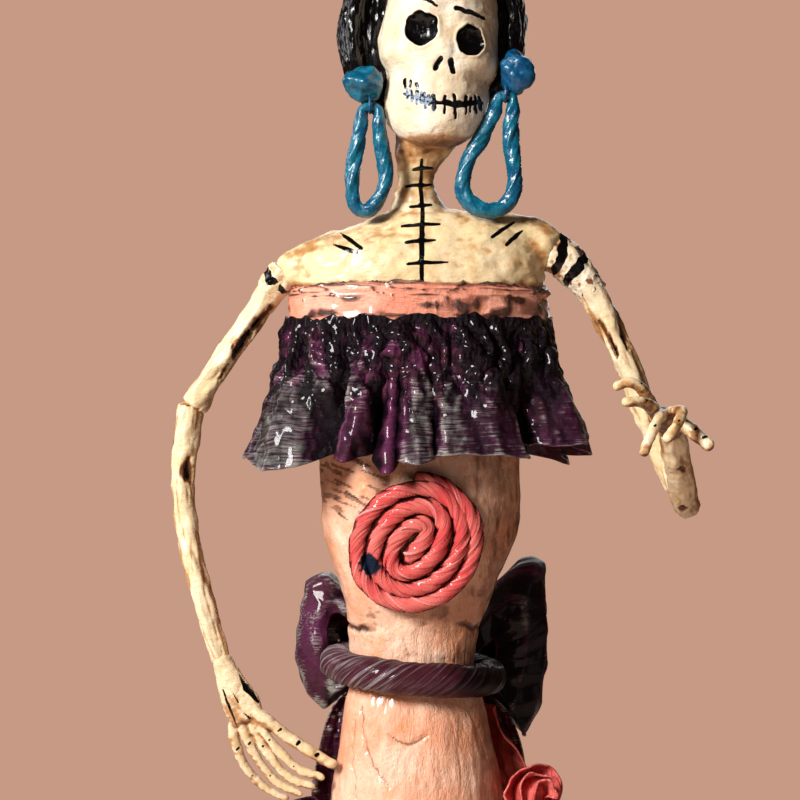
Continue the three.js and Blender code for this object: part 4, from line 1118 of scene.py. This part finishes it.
def build_band():
    points = ring_band(35.0, 19.4, 351.0, 362.4, 3.6, 520, 56)
    points[..., 0] += 0.3
    surface = looped(points)
    v = surface[0]
    x, _, z = v.T
    fold = 1 - np.minimum(creases(v, (22, 22, 2.0), 24), creases(v, (17, 17, 1.5), 26))
    knob = bell(np.linalg.norm(v - [34.5, -6, 360.5], axis=1), 3.2)
    out = noise(v, (15, 15, 2.6), 3, 22) * 0.6 + noise(v, (9, 9, 0.9), 3, 23) * 0.4
    surface = pushed(surface, out - 0.9 * fold**9 + 1.8 * knob)
    # Painted shade in the folds and hollows, along the top and bottom edges where the band meets the chest
    # and the ruffle, and on the right side; brown mottling.
    wash = hollows(*surface, 10) * 2.0 + 0.8 * fold**10 + 0.2 * noise(v, (8, 8, 1.6), 3, 25)
    wash += 0.5 * step(361.2, 362.4, z) + 0.3 * step(354.5, 352, z) + 0.3 * step(5, 30, x)
    show("bust_band_paper", surface, salmon, "salmon_paper", ["bust_band"], wash=wash)


# Round the bust: degrees from the front, how far the fold stands out, where its edge hangs, its belly.
BUST_FOLDS = [
    [-168, -4, 317, 0], [-152, 3, 314, 0], [-138, -5, 317, 0], [-124, 3, 314, 0], [-111, -4, 317, 0],
    [-98, 2.5, 316, 0], [-87, -4, 318, 0], [-79, 0, 318, 0], [-66, 4, 317, 0], [-52, 5.5, 313.6, 1],
    [-41, 3, 314.5, 1], [-35, -3, 317, 0], [-30.5, -7.5, 319, -1], [-26.5, 2, 317, 1], [-22, 4, 316, 1.5],
    [-18.5, 0, 317.4, 0], [-15.5, -7, 318.6, -2], [-12.6, -3, 315.5, 0.5], [-9.2, 1.2, 312.8, 1.0],
    [-6.4, -3, 316.4, 0], [-3.4, 1.6, 316, 0.6], [1.0, 3.4, 315.6, 0.8], [4.6, 0.6, 316.4, 0],
    [6.8, -4, 317.4, -0.6], [9.6, 1.6, 317.6, 0.6], [17, 3.2, 318.2, 0.6], [27, 4.5, 317.8, 0.8],
    [36, 4.5, 317, 0.6], [40.5, 0, 317, 0], [45, -6, 321, -2], [51, 1, 320, 0], [61, 6.5, 320.5, 1.5],
    [70, 4, 323, 0], [77, -4, 321, -1], [88, 3, 317, 0], [101, -4, 317, 0], [115, 3, 314, 0],
    [130, -5, 317, 0], [145, 3, 314, 0], [159, -4, 317, 0], [174, 3, 314, 0]]
# Crumples in it: size, seed, lean, depth everywhere, and extra depth where the sheet is gathered.
BUST_CRUMPLES = [
    (5.0, 42, (1, 1, 0.34), 0.7, 0.9), (2.3, 47, (1, 1, 0.4), 0.18, 0.4), (1.3, 45, (1, 1, 0.7), 0.05, 0.17),
    (3.2, 49, (0.5, 0.5, 1), 0.12, 0.2)]
# Where it caught more silver: degrees, half width, strength, and the share of its drop where that starts.
BUST_SILVER = [
    (-50, 17, 0.42, 0.2, 0.45), (52, 12, 0.2, 0.5, 0.8), (-9, 3, 0.4, 0.86, 0.95), (1, 4, 0.4, 0.4, 0.7),
    (12, 4, 0.3, 0.4, 0.6)]
BUST_RIDGE = [(12.5, 351), (19, 343), (26, 331), (28.4, 319)]


def ruffle_grid(top, bottom, rows, cols, table, power, pleat_grow):
    """A gathered skirt of paper from one ellipse [z, w, d, x] to another, with its folds from a table."""
    t = np.linspace(0, 1, rows)[:, None]
    angle = np.linspace(-math.pi, math.pi, cols, endpoint=False)
    lean = 0.07 * np.sin(5 * angle + 0.6) + 0.045 * np.sin(11 * angle + 2.2)
    off, low, high = folds(table, angle[None] + lean[None] * (1 - t))
    share = t**power
    w = top[1] + (bottom[1] - top[1]) * share
    d = top[2] + (bottom[2] - top[2]) * share
    grow = off * t**pleat_grow + high * np.sin(math.pi * t.clip(0, 1)) * 0.8
    x = top[3] + (bottom[3] - top[3]) * t + (w + grow) * np.sin(angle)
    y = -(d + grow) * np.cos(angle)
    z = top[0] + (low - top[0]) * t
    return np.stack([x, y, z], -1)


def build_bust_ruffle():
    rows, cols = 110, 640
    grid = ruffle_grid([353.8, 35.6, 20.2, 0.3], [314, 44.5, 31, -1], rows, cols, BUST_FOLDS, 1.45, 1.25)
    v = grid.reshape(-1, 3)
    t = np.repeat(np.linspace(0, 1, rows), cols)
    angle = np.tile(np.linspace(-math.pi, math.pi, cols, endpoint=False), rows)
    where = np.degrees(angle)
    upper, rise = step(0.8, 0.22, t), 0.12 + 0.88 * step(0, 0.14, t)
    ridge = bell(brush(v[:, [0, 2]], BUST_RIDGE, 0.0).clip(-9, 0), 1.0) * (v[:, 1] < 0)
    gather = pleats(angle, 52, v, 41)
    out = (gather - 0.5) * 2.2 * upper * rise
    for size, seed, lean, depth, extra in BUST_CRUMPLES:
        out += facets(v, size, seed, lean) * (depth + extra * upper) * rise
    out += noise(v, (9, 9, 12), 2, 43) * 0.6 * rise + 2.0 * ridge
    v = v + [0, 0, 1] * (noise(v, (3, 3, 40), 2, 48) * 1.1 * step(0.1, 0, t))[:, None]
    grid = pushed_grid(v.reshape(grid.shape), out)
    v = grid.reshape(-1, 3)
    surface = shell(grid, 0.45)
    points = surface[0]
    off = folds(BUST_FOLDS, angle)[0]
    # Painted shade in the folds, deeper the further a fold sinks, in the valleys of the gathers and along the
    # top edge under the band; darker along the narrow pleat at -9 degrees.
    valley = 0.17 * np.clip(-off, 0, 9) * t + 1.0 * (1 - gather) ** 3 * upper + 0.3 * step(0.1, 0.0, t)
    valley += 0.35 * bell(where + 9, 2.2) * step(0.5, 0.8, t)
    bare = 0.5 * bell(where + 23, 7) * step(0.5, 0.8, t)
    bare += 0.8 * bell(where + 9.5, 4) + 0.3 * bell(where - 62, 22)
    silver = (0.34 * step(-2, 4, off) - bare) * step(0.22, 0.55, t) + 0.4 * ridge
    for at, wide, much, start, full in BUST_SILVER:
        silver += much * bell(where - at, wide) * step(start, full, t)
    # A painted highlight along the crests of the gathers.
    crest = step(0.72, 0.95, gather) * upper * (0.5 + 0.5 * noise(v, (5, 5, 5), 2, 50)).clip(0, 0.8)
    marks = crepe_marks(surface, 14, 0.65)
    # Painted shade on the back of the sheet, inside the ruffle.
    marks["wash"] += np.tile(valley, 2) + np.concatenate([0 * t, 0 * t + 0.55])
    # Painted shade on the right side.
    marks["wash"] += 0.5 * step(12, 34, points[:, 0]) * step(328, 342, points[:, 2])
    marks["ridge"] = (marks["ridge"] * np.tile(0.45 + 0.3 * t, 2) + np.tile(silver, 2) - 0.12).clip(-2, 0.55)
    marks.update(screwed=np.tile(0.1 + 0.6 * upper, 2), crest=np.tile(crest, 2), fibre=lines_round(points))
    piece = show("bust_ruffle_paper", surface, plum, "plum_paper", ["bust_ruffle"], **marks)


# ---------------------------------------------------------------- rosette, belt, bow

ROSETTE_AT, ROSETTE_TILT = (-1.4, 294.9), math.radians(55)
ROSETTE_TURNS = [0.0, 0.5, 1.0, 1.5, 2.0, 2.5, 3.0, 3.6]
ROSETTE_LONG = [4.4, 5.6, 8.2, 10.2, 12.5, 14.6, 16.4, 16.6]
ROSETTE_SHORT = [0.6, 2.6, 5.0, 7.4, 9.8, 12.4, 14.8, 16.2]
ROSETTE_R = 2.22


def bodice_front(x, z):
    """How far forward the bodice reaches at each x and z."""
    w, d, cx = section_at(BODICE, z)
    return -d * np.sqrt(np.clip(1 - ((x - cx) / w) ** 2, 0.05, 1))


def build_rosette():
    turn = np.linspace(0, ROSETTE_TURNS[-1], 150)
    angle = math.pi + TAU * turn
    u = np.interp(turn, ROSETTE_TURNS, ROSETTE_LONG) * np.cos(angle)
    w = np.interp(turn, ROSETTE_TURNS, ROSETTE_SHORT) * np.sin(angle)
    x = ROSETTE_AT[0] + u * math.cos(ROSETTE_TILT) - w * math.sin(ROSETTE_TILT)
    z = ROSETTE_AT[1] + u * math.sin(ROSETTE_TILT) + w * math.cos(ROSETTE_TILT)
    y = bodice_front(x * 0.8, z) - ROSETTE_R - 0.5 + 2.0 * step(3.42, 3.6, turn)
    surface, fibre, cut = rope(np.stack([x, y, z], 1), ROSETTE_R, 1300, 28, strands=4, groove=0.05,
                               slant=0.62, seed=51, closed=False)
    v = surface[0]
    deep = hollows(*surface, 8)
    # Painted shade in the hollows, where the turns meet and along the top under the bust ruffle; dark
    # mottling.
    wash = deep * 1.8 + cut * 0.15 + 1.3 * step(-0.78, -0.25, normals_of(*surface)[:, 1])
    wash += 0.5 * step(309, 318, v[:, 2]) + 0.22 * noise(v, (3, 3, 3), 3, 53)
    blot = bell(np.linalg.norm(v[:, [0, 2]] - [-12.6, 289.4], axis=1) + 1.1 * noise(v, 1.3, 3, 52), 2.3)
    # The pale colour on the crowns of the rope is a painted highlight; the stain is a blue-black blot on the
    # paper.
    show("rosette_coil_paper", surface, coral, "coral_paper", ["rosette_coil"], fibre=fibre, wash=wash,
         ridge=0.02 - deep * 2 - cut * 0.3, stain=1.6 * blot)


BELT = dict(x=-1.2, z=259.4, w=20.8, d=18.6, r=4.35, lean=1.8)


def build_belt():
    angle = np.linspace(math.pi, 3 * math.pi, 120, endpoint=False)
    x, y = BELT["x"] + BELT["w"] * np.sin(angle), -BELT["d"] * np.cos(angle)
    z = BELT["z"] - BELT["lean"] * np.sin(angle)
    surface, fibre, cut = rope(np.stack([x, y, z], 1), BELT["r"], 620, 72, strands=5, groove=0.02,
                               slant=-1.05, seed=61)
    x, deep = surface[0][:, 0], hollows(*surface, 8)
    # A pale colour on the crowns of the rope and towards its left end: painted highlight.
    ridge = -0.05 - deep * 3.0 + 0.2 * noise(fibre, (0.5, 0.5, 8), 2, 62) + 0.3 * step(2, -14, x)
    # Painted shade in the grooves and towards the right end.
    show("rope_belt_paper", surface, plum_rope, "plum_paper", ["rope_belt"], fibre=fibre, ridge=ridge,
         wash=deep * 1.3 + cut * 0.35 + 0.7 * step(2, 17, x))


BOW_LOOPS = {
    "left": [
        [3.5, 257], [12, 268], [22, 280], [30, 285.5], [35.4, 285], [38.4, 271], [38, 257], [34.6, 242],
        [30.8, 235.4], [26, 241], [17, 249], [9, 253]],
    "right": [
        [-5.5, 258], [-12, 268], [-19, 277], [-25.6, 281.6], [-31.5, 280], [-34, 271], [-33.6, 260],
        [-31, 249], [-27.0, 244], [-20, 248], [-13, 253], [-8, 255]]}
BOW_FRONT, BOW_BACK = 21.2, 35.4
# How far along the strip from its front edge, its share of the loop's size, and its share of the depth.
BOW_PROFILE = {
    "left": (
        [0, 0.18, 0.36, 0.5, 0.62, 0.8, 1.0], [0.14, 0.6, 0.94, 1.0, 0.92, 0.55, 0.02],
        [0.26, 0.08, 0.25, 0.6, 0.9, 1.0, 0.92]),
    "right": (
        [0, 0.12, 0.30, 0.5, 0.62, 0.8, 1.0], [0.52, 0.66, 0.96, 1.0, 0.92, 0.55, 0.02],
        [0.1, 0.0, 0.2, 0.7, 0.9, 1.0, 0.92])}


def even(points, n):
    """n evenly spaced points along the straight lines of a closed outline."""
    p = np.array(points + points[:1], float)
    s = np.concatenate([[0], np.cumsum(np.linalg.norm(np.diff(p, axis=0), axis=1))])
    at = np.linspace(0, s[-1], n + 1)[:n]
    return np.stack([np.interp(at, s, p[:, k]) for k in range(3)], 1)


def build_bow_loop(side, seed):
    rows, cols = 46, 300
    outline = [[x, 0, z] for x, z in BOW_LOOPS[side]]
    path = 0.3 * spline(outline, cols, True)[0] + 0.7 * even(outline, cols)
    centre = path.mean(0)
    t, (at, size, depth) = np.linspace(0, 1, rows), BOW_PROFILE[side]
    wide = np.interp(t, at, size)[:, None, None]
    deep = np.interp(t, at, depth)[:, None]
    pinch = np.interp(np.abs(path[:, 0]), [5, 16], [0.55, 1.0])[None, :]
    inward = -np.sign(centre[0]) * np.array([5.5, 0, 0])
    grid = centre + (path[None] - centre) * wide + inward * (1 - wide) * (deep[..., None] < 0.6)
    grid[..., 1] = (BOW_FRONT + BOW_BACK) / 2 + (BOW_BACK - BOW_FRONT) * (deep - 0.5) * pinch
    v = grid.reshape(-1, 3)
    out = facets(v, 11, seed) * 1.7 + facets(v, 4.2, seed + 9) * 0.45
    grid = pushed_grid(grid, out * np.interp(np.abs(v[:, 0]), [5, 14], [0.3, 1.0]))
    grid[..., 1] = np.clip(grid[..., 1], BOW_FRONT - 0.9, BOW_BACK + 1)
    surface = shell(grid, 0.5)
    v = surface[0]
    marks = crepe_marks(surface, 14, 0.7, 0.1)
    marks["ridge"] = marks["ridge"] * 0.6 + 0.4 * noise(v, (3, 3, 9), 2, seed + 4)
    # Painted shade: the left loop is darker all over, with less pale colour; the right loop is lighter, with
    # more pale colour as painted highlight, painted shade towards its inner side and dark mottling.
    if side == "left":
        marks["wash"] += 0.75
        marks["ridge"] -= 0.1
    else:
        marks["wash"] += 0.45 * noise(v, (5, 5, 5), 3, seed + 6) + 0.5 * step(-31, -23, v[:, 0]) - 0.15
        marks["ridge"] += 0.16
    del marks["screwed"]
    name = f"bow_loop_{side}"
    piece = show(f"{name}_paper", surface, plum, "plum_paper", [name], fibre=v[:, [2, 1, 0]], **marks)


TAILS = {
    "left": [
        [5, 28, 252], [14, 27, 250.5], [21, 26, 245], [25, 25.5, 234], [25.5, 27, 220], [24, 29, 200],
        [22, 30, 173]],
    "right": [
        [-7, 28, 252], [-14, 27, 251.5], [-20, 25, 246], [-23, 23.5, 235], [-24.5, 25, 220],
        [-24.4, 29, 200], [-23.4, 30.5, 173]]}
TAIL_HALF = [3, 3.6, 4.6, 5.4, 6.4, 7.6, 8.2]


def build_tail(side, seed):
    rows, cols = 200, 60
    centres, _ = spline(TAILS[side], rows)
    u, t = np.linspace(-1, 1, cols)[None], np.linspace(0, 1, rows)[:, None]
    grid = centres[:, None] + np.array([1.0, 0, 0]) * (u * along(TAIL_HALF, rows)[:, None])[..., None]
    grid[..., 1] -= 3.5 * u**2
    grid[..., 2] += 3.0 * np.abs(u) * step(0.9, 1, t)
    v = grid.reshape(-1, 3)
    v[:, 1] += facets(v, 3.4, seed, (1, 1, 0.4)) * 1.7 + facets(v, 1.5, seed + 9) * 0.4
    surface = shell(v.reshape(rows, cols, 3), 0.45, False)
    marks = crepe_marks(surface, 12, 0.7)
    name = f"bow_tail_{side}"
    piece = show(f"{name}_paper", surface, plum, "plum_paper", [name], fibre=lines_round(surface[0]), **marks)


def build_knot():
    low, high = box_mm("bow_knot")
    surface = ball((low + high) / 2, (high - low) / 2 + 0.3, 80, 100)
    v = surface[0]
    surface = pushed(surface, facets(v, 4.0, 71, (0.4, 0.4, 1)) * 0.9 + facets(v, 1.6, 72) * 0.25)
    marks = crepe_marks(surface, 10, 0.8)
    show("bow_knot_paper", surface, plum, "plum_paper", ["bow_knot"], fibre=lines_round(surface[0]), **marks)


# ---------------------------------------------------------------- skirt and everything below

SKIRT = [
    [1.6, 64, 63, 0], [12, 60, 59, 0], [28, 51.5, 50, 0], [46, 42.5, 41, 0], [66, 35, 33, 0],
    [90, 29.5, 27, 0], [120, 27, 24.5, 0], [150, 27.5, 24.5, 0], [180, 27.5, 24, 0], [205, 25.8, 22, 0],
    [226, 23.2, 19.6, 0], [242, 20.4, 17.3, -0.6], [251, 18.8, 16, -1], [257.7, 16.3, 14, -1.2]]
CRACKS = [
    (
        [(-8.0, 244.5), (-5.5, 243.0), (-2.6, 241.9), (-0.6, 242.7), (2.2, 244.4)],
        (0.06, 0.22, 0.3, 0.3, 0.1)),
    ([(-14.8, 251), (-14.6, 246), (-13.4, 239.7), (-10.6, 234.8), (-7.6, 231.2)], 0.15),
    ([(-16.6, 247), (-17.0, 236), (-16.2, 226)], 0.08)]


def build_skirt():
    surface = capped(loft(SKIRT, 620, 400, 2.05))
    v = surface[0]
    x, y, z = v.T
    out = noise(v, (10, 10, 22), 3, 81) * 0.7 + noise(v, (1.4, 1.4, 3.8), 3, 82) * 0.13
    out -= 0.2 * (1 - creases(v, (8, 8, 40), 83)) ** 12
    out += facets(v, 9, 87, (1, 1, 0.16)) * 0.5 * step(235, 190, z)
    shaky = v[:, [0, 2]] + noise(v, 2, 2, 84)[:, None] * 0.3
    line = np.max([brush(shaky, points, half) for points, half in CRACKS], axis=0)
    crack = step(-0.7, 0.05, line) * (y < 0)
    surface = pushed(surface, (out - 0.45 * crack) * step(1.6, 6, z))
    # Antiquing and painted shade in the hollows; the cracks dark; painted shade on the right front and under
    # the belt; darker towards the hem in patches.
    wash = hollows(*surface, 12) * 1.3 + 0.55 * step(-0.12, 0.1, line) * (y < 0)
    wash += 0.5 * step(9, 19, x) * step(9, -7, y) + 0.25 * step(252, 257, z)
    wash += 0.3 * step(90, 40, z) * (0.5 + noise(v, 12, 3, 85))
    show("skirt_paper", surface, gown, "gown_paper", ["skirt_shell"], wash=wash)


DRAPE_TOP, DRAPE_EDGE, DRAPE_ROUND = 249, 169, (92, 238)


def build_drape():
    rows, cols = 130, 340
    t = np.linspace(0, 1, rows)[:, None]
    z = DRAPE_TOP + (DRAPE_EDGE - DRAPE_TOP) * t
    w, d, cx = section_at(SKIRT, z)
    angle = np.linspace(*(math.radians(a) for a in DRAPE_ROUND), cols)[None]
    flare = 2.0 + 8.4 * t**1.2 + 3.4 * step(0, 0.2, t) * step(1.9, 1.6, angle)
    ripple = 1.8 * t * np.sin(angle * 13) + 0.9 * t * np.sin(angle * 29 + 1)
    x = cx + (w + flare + ripple) * np.sin(angle)
    y = -(d + flare + 1 + ripple) * np.cos(angle)
    z = np.broadcast_to(z, x.shape) + t * (2.6 * np.sin(angle * 7) + 1.4 * np.sin(angle * 17 + 2))
    grid = np.stack([x, y, z], -1)
    v = grid.reshape(-1, 3)
    out = facets(v, 5.5, 91, (1, 1, 0.4)) * 1.2 + facets(v, 2.6, 92, (1, 1, 0.4)) * 0.3
    surface = shell(pushed_grid(grid, out, False), 0.5, False)
    v = surface[0]
    marks = crepe_marks(surface, 12, 0.7)
    marks["ridge"] = marks["ridge"].clip(-9, 0.4)
    # Painted shade on the right front.
    marks["wash"] += 0.5 * step(8, 24, v[:, 0]) * step(20, 2, v[:, 1])
    piece = show("overskirt_paper", surface, red_drape, "coral_paper", ["overskirt_drape"], fibre=v, **marks)


# Each rose's centre, size, axis, paint and slot.
ROSES = {
    "left": ([32.4, -9.5, 228], 10.0, [0.45, -1.0, 0.25], coral, "coral_paper"),
    "right": ([-31.4, -3.6, 218.4], 9.0, [-0.5, -1.0, 0.25], plum, "plum_paper")}
ROSE_TURNS = 0.3, 3.3


def build_rose(side, seed):
    """A strip of crepe rolled into a rose, its axis pointing outwards and forwards."""
    centre, size, axis, paint, slot = ROSES[side]
    centre, axis = np.array(centre), unit(np.array(axis))
    a = unit(np.cross(axis, [0, 0, 1]))
    b = np.cross(axis, a)
    rows, cols = 40, 620
    turn, t = np.linspace(*ROSE_TURNS, cols)[None], np.linspace(0, 1, rows)[:, None]
    angle = TAU * turn
    radius = size * (0.12 + 0.78 * (turn / ROSE_TURNS[1])) * (0.62 + 0.42 * t)
    radius = radius + 0.5 * t * np.sin(angle * 2.7 + 1)
    height = size * (-0.75 + (1.35 - 0.30 * turn) * t) + 0.5 * np.sin(angle * 3.3) * t
    grid = (centre + a * (radius * np.cos(angle))[..., None] + b * (radius * np.sin(angle))[..., None]
            + axis * height[..., None])
    grid = pushed_grid(grid, facets(grid.reshape(-1, 3), 3.0, seed) * 0.5, False)
    core = ball(centre - axis * size * 0.5, [size * 0.5] * 3, 40, 50)
    surface = joined([shell(grid, 0.5, False), core])
    marks = crepe_marks(surface, 10, 0.8)
    marks["ridge"] = marks["ridge"].clip(-9, 0.35)
    marks["fibre"] = surface[0][:, [1, 0, 2]]
    show(f"hip_rose_{side}_paper", surface, paint, slot, [f"hip_rose_{side}"], **marks)


def build_hem():
    rows, cols = 170, 900
    rng = np.random.default_rng(8)
    table = []
    for k, a in enumerate(range(-180, 180, 15)):
        at, off = a + rng.uniform(-2, 2), 3.0 * (1 if k % 2 else -1) + rng.uniform(-0.8, 0.6)
        table.append([at, off, 3.0 + rng.uniform(0, 1.2), 0])
    grid = ruffle_grid([71, 35.8, 33.8, 0], [3, 74.5, 71.5, 0], rows, cols, table, 1.15, 0.8)
    v = grid.reshape(-1, 3)
    t = np.repeat(np.linspace(0, 1, rows), cols)
    upper = step(0.75, 0.15, t)
    angle = np.tile(np.linspace(-math.pi, math.pi, cols, endpoint=False), rows)
    gather = pleats(angle, 72, v, 101)
    out = (gather - 0.5) * 3.4 * (0.15 + 0.85 * upper) * step(0, 0.08, t)
    out += facets(v, 6.0, 102, (1, 1, 0.5)) * 1.1 + facets(v, 2.4, 105) * 0.28
    grid = pushed_grid(grid, out)
    grid[..., 2] = grid[..., 2].clip(2.2)
    surface = shell(grid, 0.5)
    v = surface[0]
    v[:, 2] = v[:, 2].clip(1.8)
    marks = crepe_marks(surface, 14, 0.7)
    # Painted shade in the valleys of the upper gathers.
    marks["wash"] += np.tile(0.7 * (1 - gather) ** 2 * upper, 2)
    marks.update(screwed=np.tile(0.1 + 0.3 * upper, 2), fibre=lines_round(v))
    piece = show("hem_ruffle_paper", surface, hem_plum, "plum_paper", ["hem_ruffle"], **marks)
    turn = np.linspace(math.pi, 3 * math.pi, 140, endpoint=False)
    path = np.stack([36.1 * np.sin(turn), -34.0 * np.cos(turn), np.full(140, 73.4)], 1)
    surface, fibre, cut = rope(path, 2.4, 900, 30, strands=3, groove=0.12, slant=1.0, seed=103)
    deep = hollows(*surface, 8)
    # Painted shade in the rope's hollows and grooves; a pale colour on its crowns as painted highlight.
    show("hem_rope_paper", surface, coral, "coral_paper", ["hem_rope"], fibre=fibre, wash=deep + cut * 0.3,
         ridge=0.1 - deep * 2 - cut * 0.3)


# ---------------------------------------------------------------- the stage

FLOOR_RINGS, FLOOR_SIDES, FLOOR_Z = (0.02, 0.2, 0.5, 0.9), 96, -0.2
BACKDROP, BACKDROP_LIGHT = rgb(198, 154, 132), 0.09
CAMERA, LENS = (-0.0049, -0.510, 0.332), 85
LIT = (0, 0, 0.33)
# Each light's place, size, power and colour.
LIGHTS = {
    "key": ((-0.54, -0.58, 0.70), 0.30, 13.0, (1.0, 0.985, 0.96)),
    "fill": ((0.75, -0.85, 0.35), 0.7, 0.3, (1, 1, 1)),
    "rim": ((-0.7, 0.35, 0.6), 0.35, 1.2, (1, 1, 1)),
    "back": ((0.16, 0.95, 0.72), 0.8, 2.6, (1, 1, 1))}


def paint_cad():
    for node, paint in CAD_PAINTS.items():
        slots = bpy.data.objects[node].material_slots
        if not slots:
            raise SystemExit(f"{node} has no material slot")
        for slot in slots:
            slot.material = paint


def build_floor():
    turn = np.linspace(0, TAU, FLOOR_SIDES, endpoint=False)
    rings = np.array([[[r * math.cos(a) / MM, r * math.sin(a) / MM, FLOOR_Z] for a in turn]
                      for r in FLOOR_RINGS])
    v = np.vstack([rings.reshape(-1, 3), [[0, 0, FLOOR_Z]]])
    side = np.arange(FLOOR_SIDES)
    hub = np.stack([np.full(FLOOR_SIDES, len(v) - 1), side, (side + 1) % FLOOR_SIDES], 1)
    mesh = raw_mesh("floor", v, [grid_faces(len(FLOOR_RINGS), FLOOR_SIDES)[:, ::-1], hub])
    p = Paint("floor_paper")
    colour = p.mix(p.noise(40, 3), rgb(222, 196, 180), rgb(214, 186, 168))
    mesh.materials.append(p.finish(colour, 0.9, specular=0.1))
    linked("floor", mesh)


def build_lights():
    for name, (at, size, power, colour) in LIGHTS.items():
        data = bpy.data.lights.new(name, "AREA")
        data.shape, data.size, data.energy, data.color = "DISK", size, power, colour
        obj = linked(name, data)
        obj.location = at
        obj.rotation_euler = (obj.location - Vector(LIT)).to_track_quat("Z", "Y").to_euler()


def build_world():
    """The backdrop's colour to the camera, and much less of it as light."""
    world = bpy.data.worlds.new("studio")
    bpy.context.scene.world = world
    world.use_nodes = True
    nodes, links = world.node_tree.nodes, world.node_tree.links
    nodes.clear()
    mixer = nodes.new("ShaderNodeMixShader")
    links.new(nodes.new("ShaderNodeLightPath").outputs["Is Camera Ray"], mixer.inputs[0])
    for k, strength in ((1, BACKDROP_LIGHT), (2, 1.0)):
        shade = nodes.new("ShaderNodeBackground")
        shade.inputs[0].default_value, shade.inputs[1].default_value = BACKDROP, strength
        links.new(shade.outputs[0], mixer.inputs[k])
    links.new(mixer.outputs[0], nodes.new("ShaderNodeOutputWorld").inputs[0])


def build_camera():
    data = bpy.data.cameras.new("camera")
    data.lens, data.sensor_width, data.clip_start = LENS, 36, 0.01
    camera = linked("camera", data)
    camera.location, camera.rotation_euler = CAMERA, (math.pi / 2, 0, 0)
    bpy.context.scene.camera = camera
    bpy.context.scene.view_settings.view_transform = "Standard"


# ---------------------------------------------------------------- all of it

for build in (build_floor, build_lights, build_world, build_camera, paint_cad):
    build()
build_skull()
build_hair()
build_chest()
for side, seed in (("right", 110), ("left", 130)):
    build_arm(side, seed)
    build_hand(side, seed + 10)
    build_earring(side, seed + 14)
for side in BINDINGS:
    build_binding(side, *BINDINGS[side])
build_bodice()
build_band()
build_bust_ruffle()
build_rosette()
build_belt()
build_knot()
for side, seed in (("left", 170), ("right", 180)):
    build_bow_loop(side, seed)
    build_tail(side, seed + 4)
build_skirt()
build_drape()
for side, seed in (("left", 190), ("right", 195)):
    build_rose(side, seed)
build_hem()
